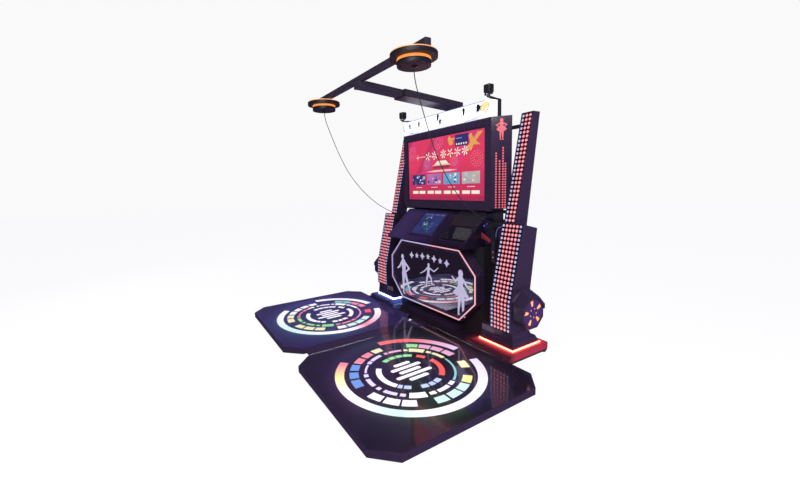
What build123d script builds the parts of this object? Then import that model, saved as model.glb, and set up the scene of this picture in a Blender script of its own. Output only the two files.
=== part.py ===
from build123d import *
import math
import os

# Dance rhythm machine for two players: two glass-topped light platforms in front of a
# cabinet with a touch desk, a screen, two leaning lamp pillars and an overhead tether boom.
# Millimetres.  While modelling, X is to the player's right from the centre plane, Y runs
# back from the platforms' front edge and Z is up from the floor.  The saved solids are
# shifted so that the origin is the centre of the machine's footprint, on the floor.

# ---- platforms -------------------------------------------------------------------------
platform_w = 1452.0
platform_d = 1454.0
platform_cut = 146.0
platform_gap = 146.0
platform_top = 60.0
foot_h = 12.0
foot_r = 25.0
rim_t = 3.0
glass_t = 6.0
mask_t = 6.0
board_t = 4.0
fit_gap = 0.5
rib_w = 30.0
rib_count = 5
ring_r = 599.0
window_gap = 0.4

# ---- base and columns ------------------------------------------------------------------
base_half_w = 1148.0
base_back = 2006.0
deck_top = 60.0
riser_top = 90.0
riser_inner_x = 705.0
sheet_t = 3.0
column_in_x = 862.0
column_wide_x = 1092.0
column_slim_x = 984.0
column_foot_z = 243.0
column_bend_z = 505.0
column_step_z = 1172.0
column_top_z = 2140.0
front_y = 1568.0
front_slope = 0.2285
back_y = 1764.0
back_slope = 0.1536
slim_setback = 24.0
dot_pitch_x = 36.0
dot_margin = 6.0
led_board_t = 12.0

# ---- cabinet, door and desk ------------------------------------------------------------
cabinet_half_w = 690.0
cabinet_front = 1676.0
cabinet_back = 2040.0
cabinet_top = 925.0
casing_front = 1580.0
casing_half_w = 712.0
casing_z0 = 180.0
casing_z1 = 898.0
casing_cut = 220.0
casing_wall = 24.0
door_gap = 3.0
door_t = 18.0
neon_r = 6.0
hinge_pin_r = 4.0
hinge_fit = 0.08
desk_half_w = 640.0
desk_front = 1462.0
desk_angle = 42.0
desk_lip_z = 944.0
monitor_w = 400.0
monitor_h = 345.0
monitor_x = -71.0

# ---- screen tower ----------------------------------------------------------------------
tower_half_w = 610.0
tower_front = 1860.0
tower_top = 2126.0
tv_half_w = 692.0
tv_z0 = 1263.5
tv_front = 1763.0
tv_active_w = 1209.6
tv_active_h = 680.4
tv_active_z0 = 1358.6
header_h = 155.0
wing_out_x = 826.0
wing_out_y = 1886.0

# ---- overhead boom ---------------------------------------------------------------------
disc_x = 836.5
disc_y = 791.0
disc_bottom = 2378.0
canopy_r = 175.0
cup_r = 125.0
bar_size = 50.0
bar_bottom = 2475.0
bar_half_len = 1005.0
arm_half_w = 62.0
arm_h = 51.0
sleeve_half_w = 95.0
boom_slope = 0.077
tether_d = 7.0
lead_d = 10.0
saddle_r = 35.0

depth = back_y + back_slope * (column_top_z - column_foot_z)

os.makedirs("parts", exist_ok=True)
nodes = {}


def box(x0, x1, y0, y1, z0, z1):
    return Pos((x0 + x1) / 2, (y0 + y1) / 2, (z0 + z1) / 2) * Box(x1 - x0, y1 - y0, z1 - z0)


def plate_z(points, z0, z1):
    """Flat outline in X and Y, thickened upwards."""
    return extrude(Plane.XY.offset(z0) * make_face(Polyline(*points, close=True)), z1 - z0)


def plate_x(points, x0, x1):
    """Side profile in Y and Z, thickened along X."""
    return extrude(Plane.YZ.offset(x0) * make_face(Polyline(*points, close=True)), x1 - x0)


def plate_y(points, y0, y1):
    """Front outline in X and Z, thickened along Y."""
    return extrude(Plane.XZ.offset(-y1) * make_face(Polyline(*points, close=True)), y1 - y0)


def rod(p, direction, r, length):
    """Round bar from point p along a direction."""
    return extrude(Plane(origin=p, z_dir=direction) * Circle(r), length)


def octagon(u0, u1, v0, v1, cut, inset=0.0):
    """Rectangle with its corners cut at 45 degrees, moved in by inset all round."""
    c = cut - inset * (2 - math.sqrt(2))
    u0, u1, v0, v1 = u0 + inset, u1 - inset, v0 + inset, v1 - inset
    return [(u0 + c, v0), (u1 - c, v0), (u1, v0 + c), (u1, v1 - c),
            (u1 - c, v1), (u0 + c, v1), (u0, v1 - c), (u0, v0 + c)]


def other_side(shape):
    return mirror(shape, about=Plane.YZ)


def pair(*shapes):
    """The given right-hand solids and their left-hand mirror images."""
    return list(shapes) + [other_side(s) for s in shapes]


def keep(name, *shapes):
    nodes[name] = [s.moved(Location((0, -depth / 2, 0))) for s in shapes]


# ---- platforms -------------------------------------------------------------------------
plat_x0 = platform_gap / 2
plat_x1 = plat_x0 + platform_w
ring_x = (plat_x0 + plat_x1) / 2
ring_y = platform_d / 2
glass_z = platform_top - glass_t
mask_z = glass_z - mask_t
board_z = mask_z - board_t


def platform_plate(inset, z0, z1):
    return plate_z(octagon(plat_x0, plat_x1, 0, platform_d, platform_cut, inset), z0, z1)


def platform_frame():
    outer = platform_plate(rim_t, foot_h, board_z)
    bays = platform_plate(60, foot_h - 1, board_z + 1)
    ribs = []
    for k in range(1, rib_count + 1):
        x = plat_x0 + platform_w * k / (rib_count + 1)
        y = platform_d * k / (rib_count + 1)
        ribs.append(box(x - rib_w / 2, x + rib_w / 2, 30, platform_d - 30, foot_h, board_z))
        ribs.append(box(plat_x0 + 30, plat_x1 - 30, y - rib_w / 2, y + rib_w / 2, foot_h, board_z))
    return outer - (bays - ribs)


# Lit windows of the floor art: inner and outer radius as shares of ring_r, start and end
# angle in degrees, counter-clockwise from +X.
art_rim = [(97, 175.5), (222.5, 434.5)]
art_blocks = [(90.5, 103.5), (105.5, 119), (120.5, 134), (135.5, 148.5), (179.5, 191.5),
              (194.5, 206.5), (209.5, 221.5), (224.5, 236.5), (240, 252), (255, 269),
              (285, 298.5), (301, 315), (317, 330), (347, 359), (1.5, 14.5), (16.5, 29),
              (31.5, 45), (60.5, 75)]
art_thin = [(31, 88), (222, 243)]
art_dashes = [(91.5, 111.5), (113.5, 121), (148, 154), (157, 176.5), (178.5, 184), (190, 209.5),
              (211.5, 219), (246, 253), (258, 276), (281, 287), (292, 309), (312.5, 319),
              (347, 355), (358, 376), (19, 28)]
art_long = [(124, 146), (323, 343)]
art_inner = [(37, 100), (114, 132), (141, 158.5), (160.5, 174), (176, 189), (191, 204),
             (230, 301.5), (303.5, 311), (314, 326), (343, 356), (359, 369), (12, 25)]
art_rings = [(0.88, 1.0, art_rim), (0.69, 0.81, art_blocks), (0.58, 0.61, art_thin),
             (0.565, 0.625, art_dashes), (0.54, 0.65, art_long), (0.385, 0.46, art_inner)]
# Level bars in the middle, given as offset from the centre and half height, both as shares
# of ring_r.
art_bars = [(-0.20, 0.13), (-0.10, 0.24), (0.0, 0.17), (0.10, 0.28), (0.20, 0.15)]
art_bar_w = 0.065


def arc_window(r0, r1, a0, a1, grow):
    """Outline of one lit window, grown all round by grow."""
    r0, r1 = r0 - grow, r1 + grow
    turn0 = math.degrees(grow / r0)
    a0, a1 = a0 - turn0, a1 + turn0
    ends = [[(r * math.cos(math.radians(a)), r * math.sin(math.radians(a))) for a in (a0, a1)]
            for r in (r0, r1)]
    return make_face([CenterArc((0, 0), r0, a0, a1 - a0), CenterArc((0, 0), r1, a0, a1 - a0),
                      Line(ends[0][0], ends[1][0]), Line(ends[0][1], ends[1][1])])


def art_faces(grow):
    faces = []
    for r0, r1, spans in art_rings:
        for a0, a1 in spans:
            faces.append(arc_window(r0 * ring_r, r1 * ring_r, a0, a1, grow))
    for x, half in art_bars:
        w = art_bar_w * ring_r + 2 * grow
        h = 2 * half * ring_r + 2 * grow
        faces.append(Pos(x * ring_r, 0) * RectangleRounded(w, h, w * 0.45))
    return faces


def art_solids(grow, z0, z1):
    return [extrude(Pos(ring_x, ring_y, z0) * f, z1 - z0) for f in art_faces(grow)]


windows = art_solids(0, mask_z, glass_z - fit_gap)
mask = platform_plate(rim_t + fit_gap, mask_z, glass_z) - art_solids(window_gap, mask_z - 1, glass_z + 1)
board = platform_plate(rim_t + fit_gap, board_z, mask_z)
glass = platform_plate(rim_t + fit_gap, glass_z, platform_top)
rim = platform_plate(0, foot_h - 4, platform_top) - platform_plate(rim_t, 0, platform_top + 1)
frame_right = platform_frame()
keep("platform_frame_right", frame_right)
keep("platform_frame_left", other_side(frame_right))
keep("platform_rims", *pair(rim))
keep("light_boards", *pair(board))
keep("ring_windows_right", *windows)
keep("ring_windows_left", *[w.moved(Location((-2 * ring_x, 0, 0))) for w in windows])
keep("ring_masks", mask, mask.moved(Location((-2 * ring_x, 0, 0))))
keep("floor_glass", *pair(glass))

# Load cells under the light board, in the bays of the frame.
bay = platform_w / (rib_count + 1)
bay_y = platform_d / (rib_count + 1)
cells = [Pos(plat_x0 + bay * (i + 0.5), bay_y * (j + 0.5), board_z - 9) * Cylinder(22, 18)
         for i, j in ((1, 1), (4, 1), (1, 4), (4, 4), (2, 2), (3, 3), (3, 2), (2, 3))]
keep("step_sensors", *pair(*cells))

feet = [Pos(plat_x0 + bay * i, bay_y * j, foot_h / 2) * Cylinder(foot_r, foot_h)
        for i in (1, 3, 5) for j in (1, 3, 5)]

bridge = box(-plat_x0 + fit_gap, plat_x0 - fit_gap, platform_cut, platform_d, foot_h, platform_top)
bridge -= box(-plat_x0 + 4, plat_x0 - 4, platform_cut - 1, platform_d + 1, foot_h - 1, platform_top - 4)
keep("bridge_plate", bridge)

# ---- base ------------------------------------------------------------------------------
base_front = platform_d + fit_gap
tube = 50.0
cell_count = 8
deck_under = deck_top - sheet_t
bx, by0, by1 = base_half_w - sheet_t, base_front + sheet_t, base_back - sheet_t
base_frame = box(-bx, bx, by0, by1, foot_h, deck_under)
pitch = (2 * bx - tube) / cell_count
for k in range(cell_count):
    x0 = -bx + tube + k * pitch
    for y0, y1 in ((by0 + tube, (by0 + by1) / 2 - tube / 2), ((by0 + by1) / 2 + tube / 2, by1 - tube)):
        base_frame -= box(x0, x0 + pitch - tube, y0, y1, 0, deck_top)
keep("base_frame", base_frame)
base_feet = [Pos(tube / 2 - bx + k * pitch, y, foot_h / 2) * Cylinder(foot_r, foot_h)
             for k in (5, 7, 8) for y in (by0 + tube / 2, by1 - tube / 2)]
keep("levelling_feet", *pair(*feet, *base_feet))

riser_cut = 45.0
riser = plate_z([(riser_inner_x, base_front), (base_half_w - riser_cut, base_front),
                 (base_half_w, base_front + riser_cut), (base_half_w, base_back),
                 (riser_inner_x, base_back)], deck_top, riser_top)
deck = box(-base_half_w, base_half_w, base_front, base_back, 30, deck_top)
deck -= box(-bx, bx, by0, by1, 0, deck_under)
riser_hollow = box(riser_inner_x + sheet_t, base_half_w - riser_cut, base_front + riser_cut,
                   base_back - sheet_t, deck_top, riser_top - sheet_t)
deck = deck + pair(riser) - pair(riser_hollow)
keep("base_deck", deck)


# ---- columns ---------------------------------------------------------------------------
def face_y(z):
    """Y of the wide column's front face at height z: upright, then leaning back."""
    return front_y + front_slope * max(0.0, z - column_bend_z)


def rear_y(z):
    return back_y + back_slope * (z - column_foot_z)


step_slope = 0.2444


def step_z(y):
    """Height of the sloping shoulder where the slim column starts."""
    return column_step_z - step_slope * (y - face_y(column_step_z))


def shoulder_back(inset, drop):
    """Point where the shoulder, lowered by drop, meets the rear wall moved in by inset."""
    run = back_slope * (step_z(0) - drop - column_foot_z)
    y = (back_y - inset + run) / (1 + back_slope * step_slope)
    return (y, step_z(y) - drop)


def column_profile(z0, z1, setback, inset_front, inset, flat_top):
    """Side outline between two heights; inset moves the walls in."""
    front = [(face_y(z0) + setback + inset_front, z0)]
    if z0 < column_bend_z:
        front.append((front_y + setback + inset_front, column_bend_z))
    if flat_top:
        tip = [(face_y(z1) + setback + inset_front, z1), (rear_y(z1) - inset, z1)]
    else:
        yf = face_y(z1) + inset_front
        tip = [(yf, step_z(yf) - inset), shoulder_back(inset, inset)]
    return front + tip + [(rear_y(z0) - inset, z0)]


def slim_profile(inset_front, inset, z1):
    y0 = face_y(column_step_z) + slim_setback + inset_front
    return [(y0, step_z(y0) + inset), (face_y(z1) + slim_setback + inset_front, z1),
            (rear_y(z1) - inset, z1), shoulder_back(inset, -inset)]


front_wall = led_board_t + sheet_t
wide = plate_x(column_profile(column_foot_z, column_step_z, 0, 0, 0, False), column_in_x, column_wide_x)
wide_hollow = plate_x(column_profile(column_foot_z + sheet_t, column_step_z - sheet_t, 0, front_wall,
                                     sheet_t, False), column_in_x + sheet_t, column_wide_x - sheet_t)
led_x0 = column_in_x + dot_margin
led_wide_x1 = led_x0 + 6 * dot_pitch_x
led_slim_x1 = led_x0 + 3 * dot_pitch_x
led_z1 = column_step_z - 4


def led_strip(z0, z1, setback, thick, front=0.0):
    """Front lamp board following the face between two heights."""
    zs = [z0] + ([column_bend_z] if z0 < column_bend_z < z1 else []) + [z1]
    outer = [(face_y(z) + setback - front, z) for z in zs]
    return outer + [(face_y(z) + setback + thick, z) for z in reversed(zs)]


led_z0 = column_foot_z + 4
wide -= wide_hollow
wide -= plate_x(led_strip(led_z0, led_z1, 0, led_board_t, 1), led_x0, led_wide_x1)
slim = plate_x(slim_profile(0, 0, column_top_z), column_in_x, column_slim_x)
slim -= plate_x(slim_profile(front_wall, sheet_t, column_top_z - sheet_t),
                column_in_x + sheet_t, column_slim_x - sheet_t)
slim_z0 = column_step_z + 4
slim_z1 = column_top_z - 12
slim -= plate_x(led_strip(slim_z0, slim_z1, slim_setback, led_board_t, 1), led_x0, led_slim_x1)
keep("pillars_lower", *pair(wide))
keep("pillars_upper", *pair(slim))
led_gap = fit_gap
led_wide = plate_x(led_strip(led_z0 + led_gap, led_z1 - led_gap, 2, led_board_t - 2),
                   led_x0 + led_gap, led_wide_x1 - led_gap)
led_slim = plate_x(led_strip(slim_z0 + led_gap, slim_z1 - led_gap, slim_setback + 2, led_board_t - 2),
                   led_x0 + led_gap, led_slim_x1 - led_gap)
keep("led_panels", *pair(led_wide, led_slim))

# Foot covers: a wide skirted tier and a plinth that carries the column.
tier_z = 168.0


def tapered(lower, upper, z0, z1):
    """Four-sided block between two rectangles given as (x0, x1, y0, y1)."""
    faces = [Pos((x0 + x1) / 2, (y0 + y1) / 2, z) * Rectangle(x1 - x0, y1 - y0)
             for (x0, x1, y0, y1), z in ((lower, z0), (upper, z1))]
    return loft(Sketch() + faces)


def shrink(r, t):
    return (r[0] + t, r[1] - t, r[2] + t, r[3] - t)


tier_low = (733, 1104, 1583, 1950)
tier_high = (746, 1100, 1588, 1890)
plinth_low = (750, 1096, 1590, 1850)
plinth_high = (752, 1096, 1590, 1800)
cover = tapered(tier_low, tier_high, riser_top, tier_z)
cover += tapered(plinth_low, plinth_high, tier_z, column_foot_z)
cover -= tapered(shrink(tier_low, 4), shrink(tier_high, 4), riser_top, tier_z - 4)
cover -= tapered(shrink(plinth_low, 4), shrink(plinth_high, 4), tier_z - 4, column_foot_z - 4)
keep("foot_covers", *pair(cover))

# Light strips: round the feet, and the glowing rings of the two discs.
strip_w = 6.0
strip_z = riser_top + 10
x0, x1, y0, y1 = tier_low
strip = box(x0 - strip_w, x1 + strip_w, y0 - strip_w, y1, riser_top, strip_z)
strip -= box(x0, x1, y0, y1 + 1, riser_top - 1, strip_z + 1)


def ring(r_out, r_in, z0, z1):
    return Pos(disc_x, disc_y, (z0 + z1) / 2) * (Cylinder(r_out, z1 - z0) - Cylinder(r_in, z1 - z0 + 1))


cup_top = disc_bottom + 35
canopy_z = cup_top + 20
canopy_top = canopy_z + 32
hub_r = 60.0
keep("light_strips", *pair(strip, ring(cup_r - 2, cup_r - 12, cup_top, canopy_z),
                           ring(canopy_r - 4, canopy_r - 14, canopy_top, canopy_top + 8)))

# ---- side lamps ------------------------------------------------------------------------
lamp_y = 1720.0
lamp_z = 431.0
lamp_out_x = 1200.0
lamp_r = 134.0
face_r = 126.0
lamp_bore = 114.0
drum_side = lamp_r * math.tan(math.pi / 8)
drum = plate_x(octagon(lamp_y - lamp_r, lamp_y + lamp_r, lamp_z - lamp_r, lamp_z + lamp_r,
                       lamp_r - drum_side), column_wide_x, lamp_out_x)
hood_rise = 62.0
hood_low = [(lamp_y - lamp_r, lamp_z), (lamp_y - lamp_r, lamp_z + drum_side + hood_rise * 0.6),
            (lamp_y - drum_side, lamp_z + lamp_r + hood_rise),
            (lamp_y + drum_side, lamp_z + lamp_r + hood_rise),
            (lamp_y + lamp_r, lamp_z + drum_side + hood_rise * 0.6), (lamp_y + lamp_r, lamp_z)]
hood_out = [(lamp_y - lamp_r - 2, lamp_z + 20), (lamp_y - lamp_r - 2, lamp_z + drum_side + 4),
            (lamp_y - drum_side - 2, lamp_z + lamp_r + 4), (lamp_y + drum_side + 2, lamp_z + lamp_r + 4),
            (lamp_y + lamp_r + 2, lamp_z + drum_side + 4), (lamp_y + lamp_r + 2, lamp_z + 20)]
hood_x = lamp_out_x + 14
hood = loft(Sketch() + [Plane.YZ.offset(column_wide_x) * make_face(Polyline(*hood_low, close=True)),
                        Plane.YZ.offset(hood_x) * make_face(Polyline(*hood_out, close=True))])
housing = drum + hood
housing -= rod((lamp_out_x - 10, lamp_y, lamp_z), (1, 0, 0), face_r + fit_gap, 40)
housing -= rod((column_wide_x + 4, lamp_y, lamp_z), (1, 0, 0), lamp_bore, 200)
keep("lamp_housings", *pair(housing))
lamp_face = rod((lamp_out_x - 10, lamp_y, lamp_z), (1, 0, 0), face_r, 8)
for k in range(5):
    a = math.radians(100 + 72 * k)
    wedge = [(0.42 * face_r, -0.07 * face_r), (0.90 * face_r, -0.19 * face_r),
             (0.90 * face_r, 0.19 * face_r), (0.42 * face_r, 0.07 * face_r)]
    turned = [(lamp_y + u * math.cos(a) - v * math.sin(a), lamp_z + u * math.sin(a) + v * math.cos(a))
              for u, v in wedge]
    lamp_face -= plate_x(turned, lamp_out_x - 20, lamp_out_x + 20)
keep("lamp_faces", *pair(lamp_face))

# ---- cabinet ---------------------------------------------------------------------------
case_t = 15.0
cabinet = box(-cabinet_half_w, cabinet_half_w, cabinet_front, cabinet_back, deck_top, cabinet_top)
cabinet -= box(-cabinet_half_w + case_t, cabinet_half_w - case_t, cabinet_front + case_t,
               cabinet_back - case_t, deck_top + case_t, cabinet_top - case_t)
access = octagon(-casing_half_w, casing_half_w, casing_z0, casing_z1, casing_cut, casing_wall + 40)
cabinet -= plate_y(access, cabinet_front - 1, cabinet_front + case_t + 1)
rear_door_x, rear_door_z0, rear_door_z1 = 300.0, 160.0, 800.0
cabinet -= box(-rear_door_x + 20, rear_door_x - 20, cabinet_back - case_t - 1, cabinet_back + 1,
               rear_door_z0 + 20, rear_door_z1 - 20)

door_outline = (-casing_half_w, casing_half_w, casing_z0, casing_z1, casing_cut)
casing = plate_y(octagon(*door_outline), casing_front, cabinet_front)
casing -= plate_y(octagon(*door_outline, casing_wall), casing_front - 1, cabinet_front + 1)
keep("toe_kick", box(-416, 416, front_y - 4, cabinet_front, deck_top, 100)
     - box(-413, 413, front_y - 1, cabinet_front + 1, deck_top - 1, 97))

# Front door: octagonal rim frame, mirror panel and neon tube, hung on the left.
door_y0 = casing_front - door_gap - door_t
door_y1 = casing_front - door_gap
door_inset = 4.0
rim_w = 46.0
door_ring = plate_y(octagon(*door_outline, door_inset), door_y0, door_y1)
door_ring -= plate_y(octagon(*door_outline, door_inset + rim_w), door_y0 - 1, door_y1 - 6)
panel_t = 8.0
door_panel = plate_y(octagon(*door_outline, door_inset + rim_w + fit_gap),
                     door_y1 - 6 - panel_t, door_y1 - 6)
neon_inset = 13.0
neon_path = Polyline(*[(x, door_y0 - neon_r, z) for x, z in octagon(*door_outline, neon_inset)],
                     close=True)
neon = sweep(Plane(origin=neon_path @ 0, z_dir=neon_path % 0) * Circle(neon_r), path=neon_path,
             transition=Transition.RIGHT)
hinge_x = -casing_half_w - hinge_pin_r - 5
hinge_y = door_y0 + door_t / 2
hinge_zs = (450.0, 628.0)
knuckle_r = hinge_pin_r + 4.0
pins = []
for z in hinge_zs:
    for dz in (-40, 16):
        lug = rod((hinge_x, hinge_y, z + dz + 0.5), (0, 0, 1), knuckle_r, 23)
        link = box(hinge_x - 3, -casing_half_w, hinge_y, casing_front + 14, z + dz + 0.5, z + dz + 23.5)
        casing += (lug + link) - rod((hinge_x, hinge_y, z - 60), (0, 0, 1), hinge_pin_r, 120)
    middle = rod((hinge_x, hinge_y, z - 15), (0, 0, 1), knuckle_r, 30)
    middle += box(hinge_x, -casing_half_w + door_inset + 8, hinge_y - 3, hinge_y + 3, z - 15, z + 15)
    door_ring += middle
    door_ring -= rod((hinge_x, hinge_y, z - 60), (0, 0, 1), hinge_pin_r + hinge_fit, 120)
    pins.append(rod((hinge_x, hinge_y, z - 39.5), (0, 0, 1), hinge_pin_r, 79))
keep("door_casing", casing, *pins)

lock_x, lock_z = casing_half_w - door_inset - 32, 540.0
lock_r = 9.0
lock_hole = rod((lock_x, door_y0 - 5, lock_z), (0, 1, 0), lock_r + fit_gap, door_t + 10)
door_ring -= lock_hole
lock = rod((lock_x, door_y0 - 3, lock_z), (0, 1, 0), lock_r, door_t + 4)
lock += rod((lock_x, door_y0 - 3, lock_z), (0, 1, 0), lock_r + 3, 2.5)
lock -= box(lock_x - 1, lock_x + 1, door_y0 - 4, door_y0 + 3, lock_z - 4, lock_z + 4)
lock += box(lock_x - 8, lock_x + 8, door_y1 + 0.5, door_y1 + 2.5, lock_z - 34, lock_z + 8)
keep("front_door_frame", door_ring)
keep("front_door_panel", door_panel)
keep("front_door_neon", neon)
keep("front_lock", lock)

# ---- touch desk ------------------------------------------------------------------------
slope = math.tan(math.radians(desk_angle))
desk_back = 1790.0
desk_top_z = desk_lip_z + slope * (desk_back - desk_front)


def desk_z(y):
    return desk_lip_z + slope * (y - desk_front)


desk_profile = [(desk_front, cabinet_top), (desk_front, desk_lip_z), (desk_back, desk_top_z),
                (tower_front, desk_top_z), (tower_front, cabinet_top)]
desk_inner = [(desk_front + 6, cabinet_top + 4), (desk_front + 6, desk_lip_z - 4),
              (desk_back, desk_top_z - 6), (tower_front - 4, desk_top_z - 6),
              (tower_front - 4, cabinet_top + 4)]
desk = plate_x(desk_profile, -desk_half_w, desk_half_w)
desk -= plate_x(desk_inner, -desk_half_w + 4, desk_half_w - 4)
bay_x0, bay_x1 = 262.0, 612.0
bay_floor = 978.0
bay_y0, bay_y1, bay_y2 = 1500.0, 1572.0, 1640.0
bay_wall = 4.0
bay_profile = [(bay_y0, desk_z(bay_y0) + 1), (bay_y0, bay_floor), (bay_y1, bay_floor),
               (bay_y2, desk_z(bay_y2)), (bay_y2, desk_z(bay_y2) + 60)]
bay_outer = [(bay_y0 - bay_wall, desk_z(bay_y0 - bay_wall)), (bay_y0 - bay_wall, bay_floor - bay_wall),
             (bay_y1 + bay_wall, bay_floor - bay_wall), (bay_y2 + bay_wall, desk_z(bay_y2) - bay_wall),
             (bay_y2 + bay_wall, desk_z(bay_y2 + bay_wall))]
desk += plate_x(bay_outer, bay_x0 - bay_wall, bay_x1 + bay_wall)
desk -= plate_x(bay_profile, bay_x0, bay_x1)


def on_desk(u0, u1, s0, s1, h0, h1):
    """Block on the sloping desk: u across, s up the slope from the lip, h off the surface."""
    block = box(u0, u1, s0, s1, h0, h1)
    return Pos(0, desk_front, desk_lip_z) * (Rot(desk_angle, 0, 0) * block)


monitor_s0 = 62.0
m0, m1 = monitor_x - monitor_w / 2, monitor_x + monitor_w / 2
desk -= on_desk(m0 + 12, m1 - 12, monitor_s0 + 12, monitor_s0 + monitor_h - 12, -20, 20)
monitor = on_desk(m0, m1, monitor_s0, monitor_s0 + monitor_h, 0, 9)
monitor += on_desk(m0 + 13, m1 - 13, monitor_s0 + 13, monitor_s0 + monitor_h - 13, -30, 0)
monitor -= on_desk(m0 + 20, m1 - 20, monitor_s0 + 20, monitor_s0 + monitor_h - 20, 6, 12)
keep("console_desk", desk)
keep("touch_monitor", monitor)

grille_x, grille_w, grille_t = 480.0, 220.0, 6.0
bay_rise = math.atan2(desk_z(bay_y2) - bay_floor, bay_y2 - bay_y1)
grille_s1 = math.hypot(desk_z(bay_y2) - bay_floor, bay_y2 - bay_y1) - 8
grille = Pos(grille_x, bay_y1, bay_floor) * (
    Rot(math.degrees(bay_rise), 0, 0) * box(-grille_w / 2, grille_w / 2, 14, grille_s1, 0, grille_t))
keep("speaker_unit", grille)

# ---- tower, screen and side panels -----------------------------------------------------
tower = box(-tower_half_w, tower_half_w, tower_front, cabinet_back, cabinet_top, tower_top)
tower -= box(-tower_half_w + sheet_t, tower_half_w - sheet_t, tower_front + sheet_t,
             cabinet_back - sheet_t, cabinet_top + sheet_t, tower_top - sheet_t)
vent_rows = [1500 + 14 * k for k in range(10)]
for z in vent_rows:
    for x in (-380, 140):
        tower -= box(x, x + 240, cabinet_back - sheet_t - 1, cabinet_back + 1, z, z + 6)

tv_back = tower_front
tv_housing = box(-tv_half_w, tv_half_w, tv_front, tv_back, tv_z0, tower_top)
glass_x = tv_active_w / 2 + 16
glass_z0, glass_z1 = tv_active_z0 - 16, tv_active_z0 + tv_active_h + 16
tv_housing -= box(-glass_x, glass_x, tv_front - 1, tv_front + 60, glass_z0, glass_z1)
tv_housing -= box(-tv_half_w + 4, tv_half_w - 4, tv_front + 62, tv_back - 4, tv_z0 + 4, tower_top - 4)
tv_panel = box(-glass_x + 1, glass_x - 1, tv_front + 10, tv_front + 60, glass_z0 + fit_gap, glass_z1 - 1)
keep("tv_housing", tv_housing)
keep("tv_panel", tv_panel)

header_y = 1751.0
corner_r = 60.0
header_out = tv_half_w - 4
header = plate_z([(-header_out + corner_r, header_y), (header_out - corner_r, header_y),
                  (header_out - corner_r, header_y + 5), (-header_out + corner_r, header_y + 5)],
                 tower_top, tower_top + header_h)
bend = Pos(header_out - corner_r, header_y + corner_r, tower_top + header_h / 2) * (
    Cylinder(corner_r, header_h) - Cylinder(corner_r - 5, header_h + 1))
bend &= box(header_out - corner_r, header_out + 1, header_y - 1, header_y + corner_r,
            tower_top - 1, tower_top + header_h + 1)
tail = box(header_out - 5, header_out, header_y + corner_r, header_y + corner_r + 40,
           tower_top, tower_top + header_h)
header = header + pair(bend, tail)
header += box(-600, 600, header_y + 5, header_y + 20, tower_top, tower_top + 12)
keep("header_screen", header)

# Splayed wing beside the screen, flat closing panel below it, and the ladder bars that tie
# the tower to the columns.
wing_z0 = 1286.0
wing_dir = math.atan2(wing_out_y - tv_front, wing_out_x - tv_half_w)
nx, ny = -math.sin(wing_dir) * 6, math.cos(wing_dir) * 6
wing = plate_z([(tv_half_w, tv_front), (wing_out_x, wing_out_y), (wing_out_x + nx, wing_out_y + ny),
                (tv_half_w, tv_front + ny * 1.9)], wing_z0, tower_top)
closer_y = 1800.0
closer_z1 = 1140.0
closer = box(cabinet_half_w, column_in_x, closer_y, closer_y + 5, column_foot_z + 2, closer_z1)
closer += box(cabinet_half_w, tier_low[0] - strip_w - 3, closer_y, closer_y + 5, riser_top, column_foot_z + 2)
keep("side_panels", *pair(wing, closer))


def ladder_bar(z0, z1):
    """Flat bar from the tower's side to the column's inner face, set back in the gap."""
    y0 = face_y(z0) + slim_setback + 40
    return box(tower_half_w, column_in_x, max(y0, wing_out_y + 12), max(y0, wing_out_y + 12) + 25, z0, z1)


low_bar = box(tower_half_w, column_in_x, 1862, 1887, 1150, 1182)
mid_bar = box(tower_half_w, column_in_x, 1862, 1887, 1240, 1272)
keep("ladder_struts", *pair(low_bar, mid_bar, ladder_bar(2016, 2048)))

# ---- posts, boom and discs -------------------------------------------------------------
post_z = 2300.0
post = box(tower_half_w, tower_half_w + 50, 1889, 1935, 2060, post_z)
mast_y0, mast_y1 = 1890.0, 1990.0


def arm_top(y):
    return bar_bottom - boom_slope * max(0.0, y - (disc_y + bar_size / 2 + 6))


def boom_profile(y0, y1, up, down):
    return [(y0, arm_top(y0) + up), (y0, arm_top(y0) - arm_h - down),
            (y1, arm_top(y1) - arm_h - down), (y1, arm_top(y1) + up)]


arm_y0 = disc_y - bar_size / 2
knee = disc_y + bar_size / 2 + 6
arm_y1 = 1700.0
arm_pts = [(arm_y0, bar_bottom), (knee, bar_bottom), (arm_y1, arm_top(arm_y1)),
           (arm_y1, arm_top(arm_y1) - arm_h), (knee, bar_bottom - arm_h), (arm_y0, bar_bottom - arm_h)]
arm = plate_x(arm_pts, -arm_half_w, arm_half_w)
hollow_pts = [(arm_y0 + 4, bar_bottom - 4), (knee, bar_bottom - 4), (arm_y1 - 4, arm_top(arm_y1) - 4),
              (arm_y1 - 4, arm_top(arm_y1) - arm_h + 4), (knee, bar_bottom - arm_h + 4),
              (arm_y0 + 4, bar_bottom - arm_h + 4)]
arm -= plate_x(hollow_pts, -arm_half_w + 4, arm_half_w - 4)
keep("boom_arm", arm)
sleeve_y0, sleeve_y1 = 1240.0, 1996.0
sleeve = plate_x(boom_profile(sleeve_y0, sleeve_y1, 8, 8), -sleeve_half_w, sleeve_half_w)
sleeve_in = plate_x(boom_profile(sleeve_y0 + 40, sleeve_y1 - 4, 4, 4), -sleeve_half_w + 4, sleeve_half_w - 4)
sleeve_bore = plate_x(boom_profile(sleeve_y0 - 1, sleeve_y0 + 60, 0.5, 0.5), -arm_half_w - 0.5, arm_half_w + 0.5)
guide_y0, guide_y1 = 1600.0, 1640.0
guide = plate_x(boom_profile(guide_y0, guide_y1, 4, 4), -sleeve_half_w + 4, sleeve_half_w - 4)
guide -= plate_x(boom_profile(guide_y0 - 1, guide_y1 + 1, 0.5, 0.5), -arm_half_w - 0.5, arm_half_w + 0.5)
sleeve = sleeve - sleeve_in - sleeve_bore + guide
keep("boom_sleeve", sleeve)
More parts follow.
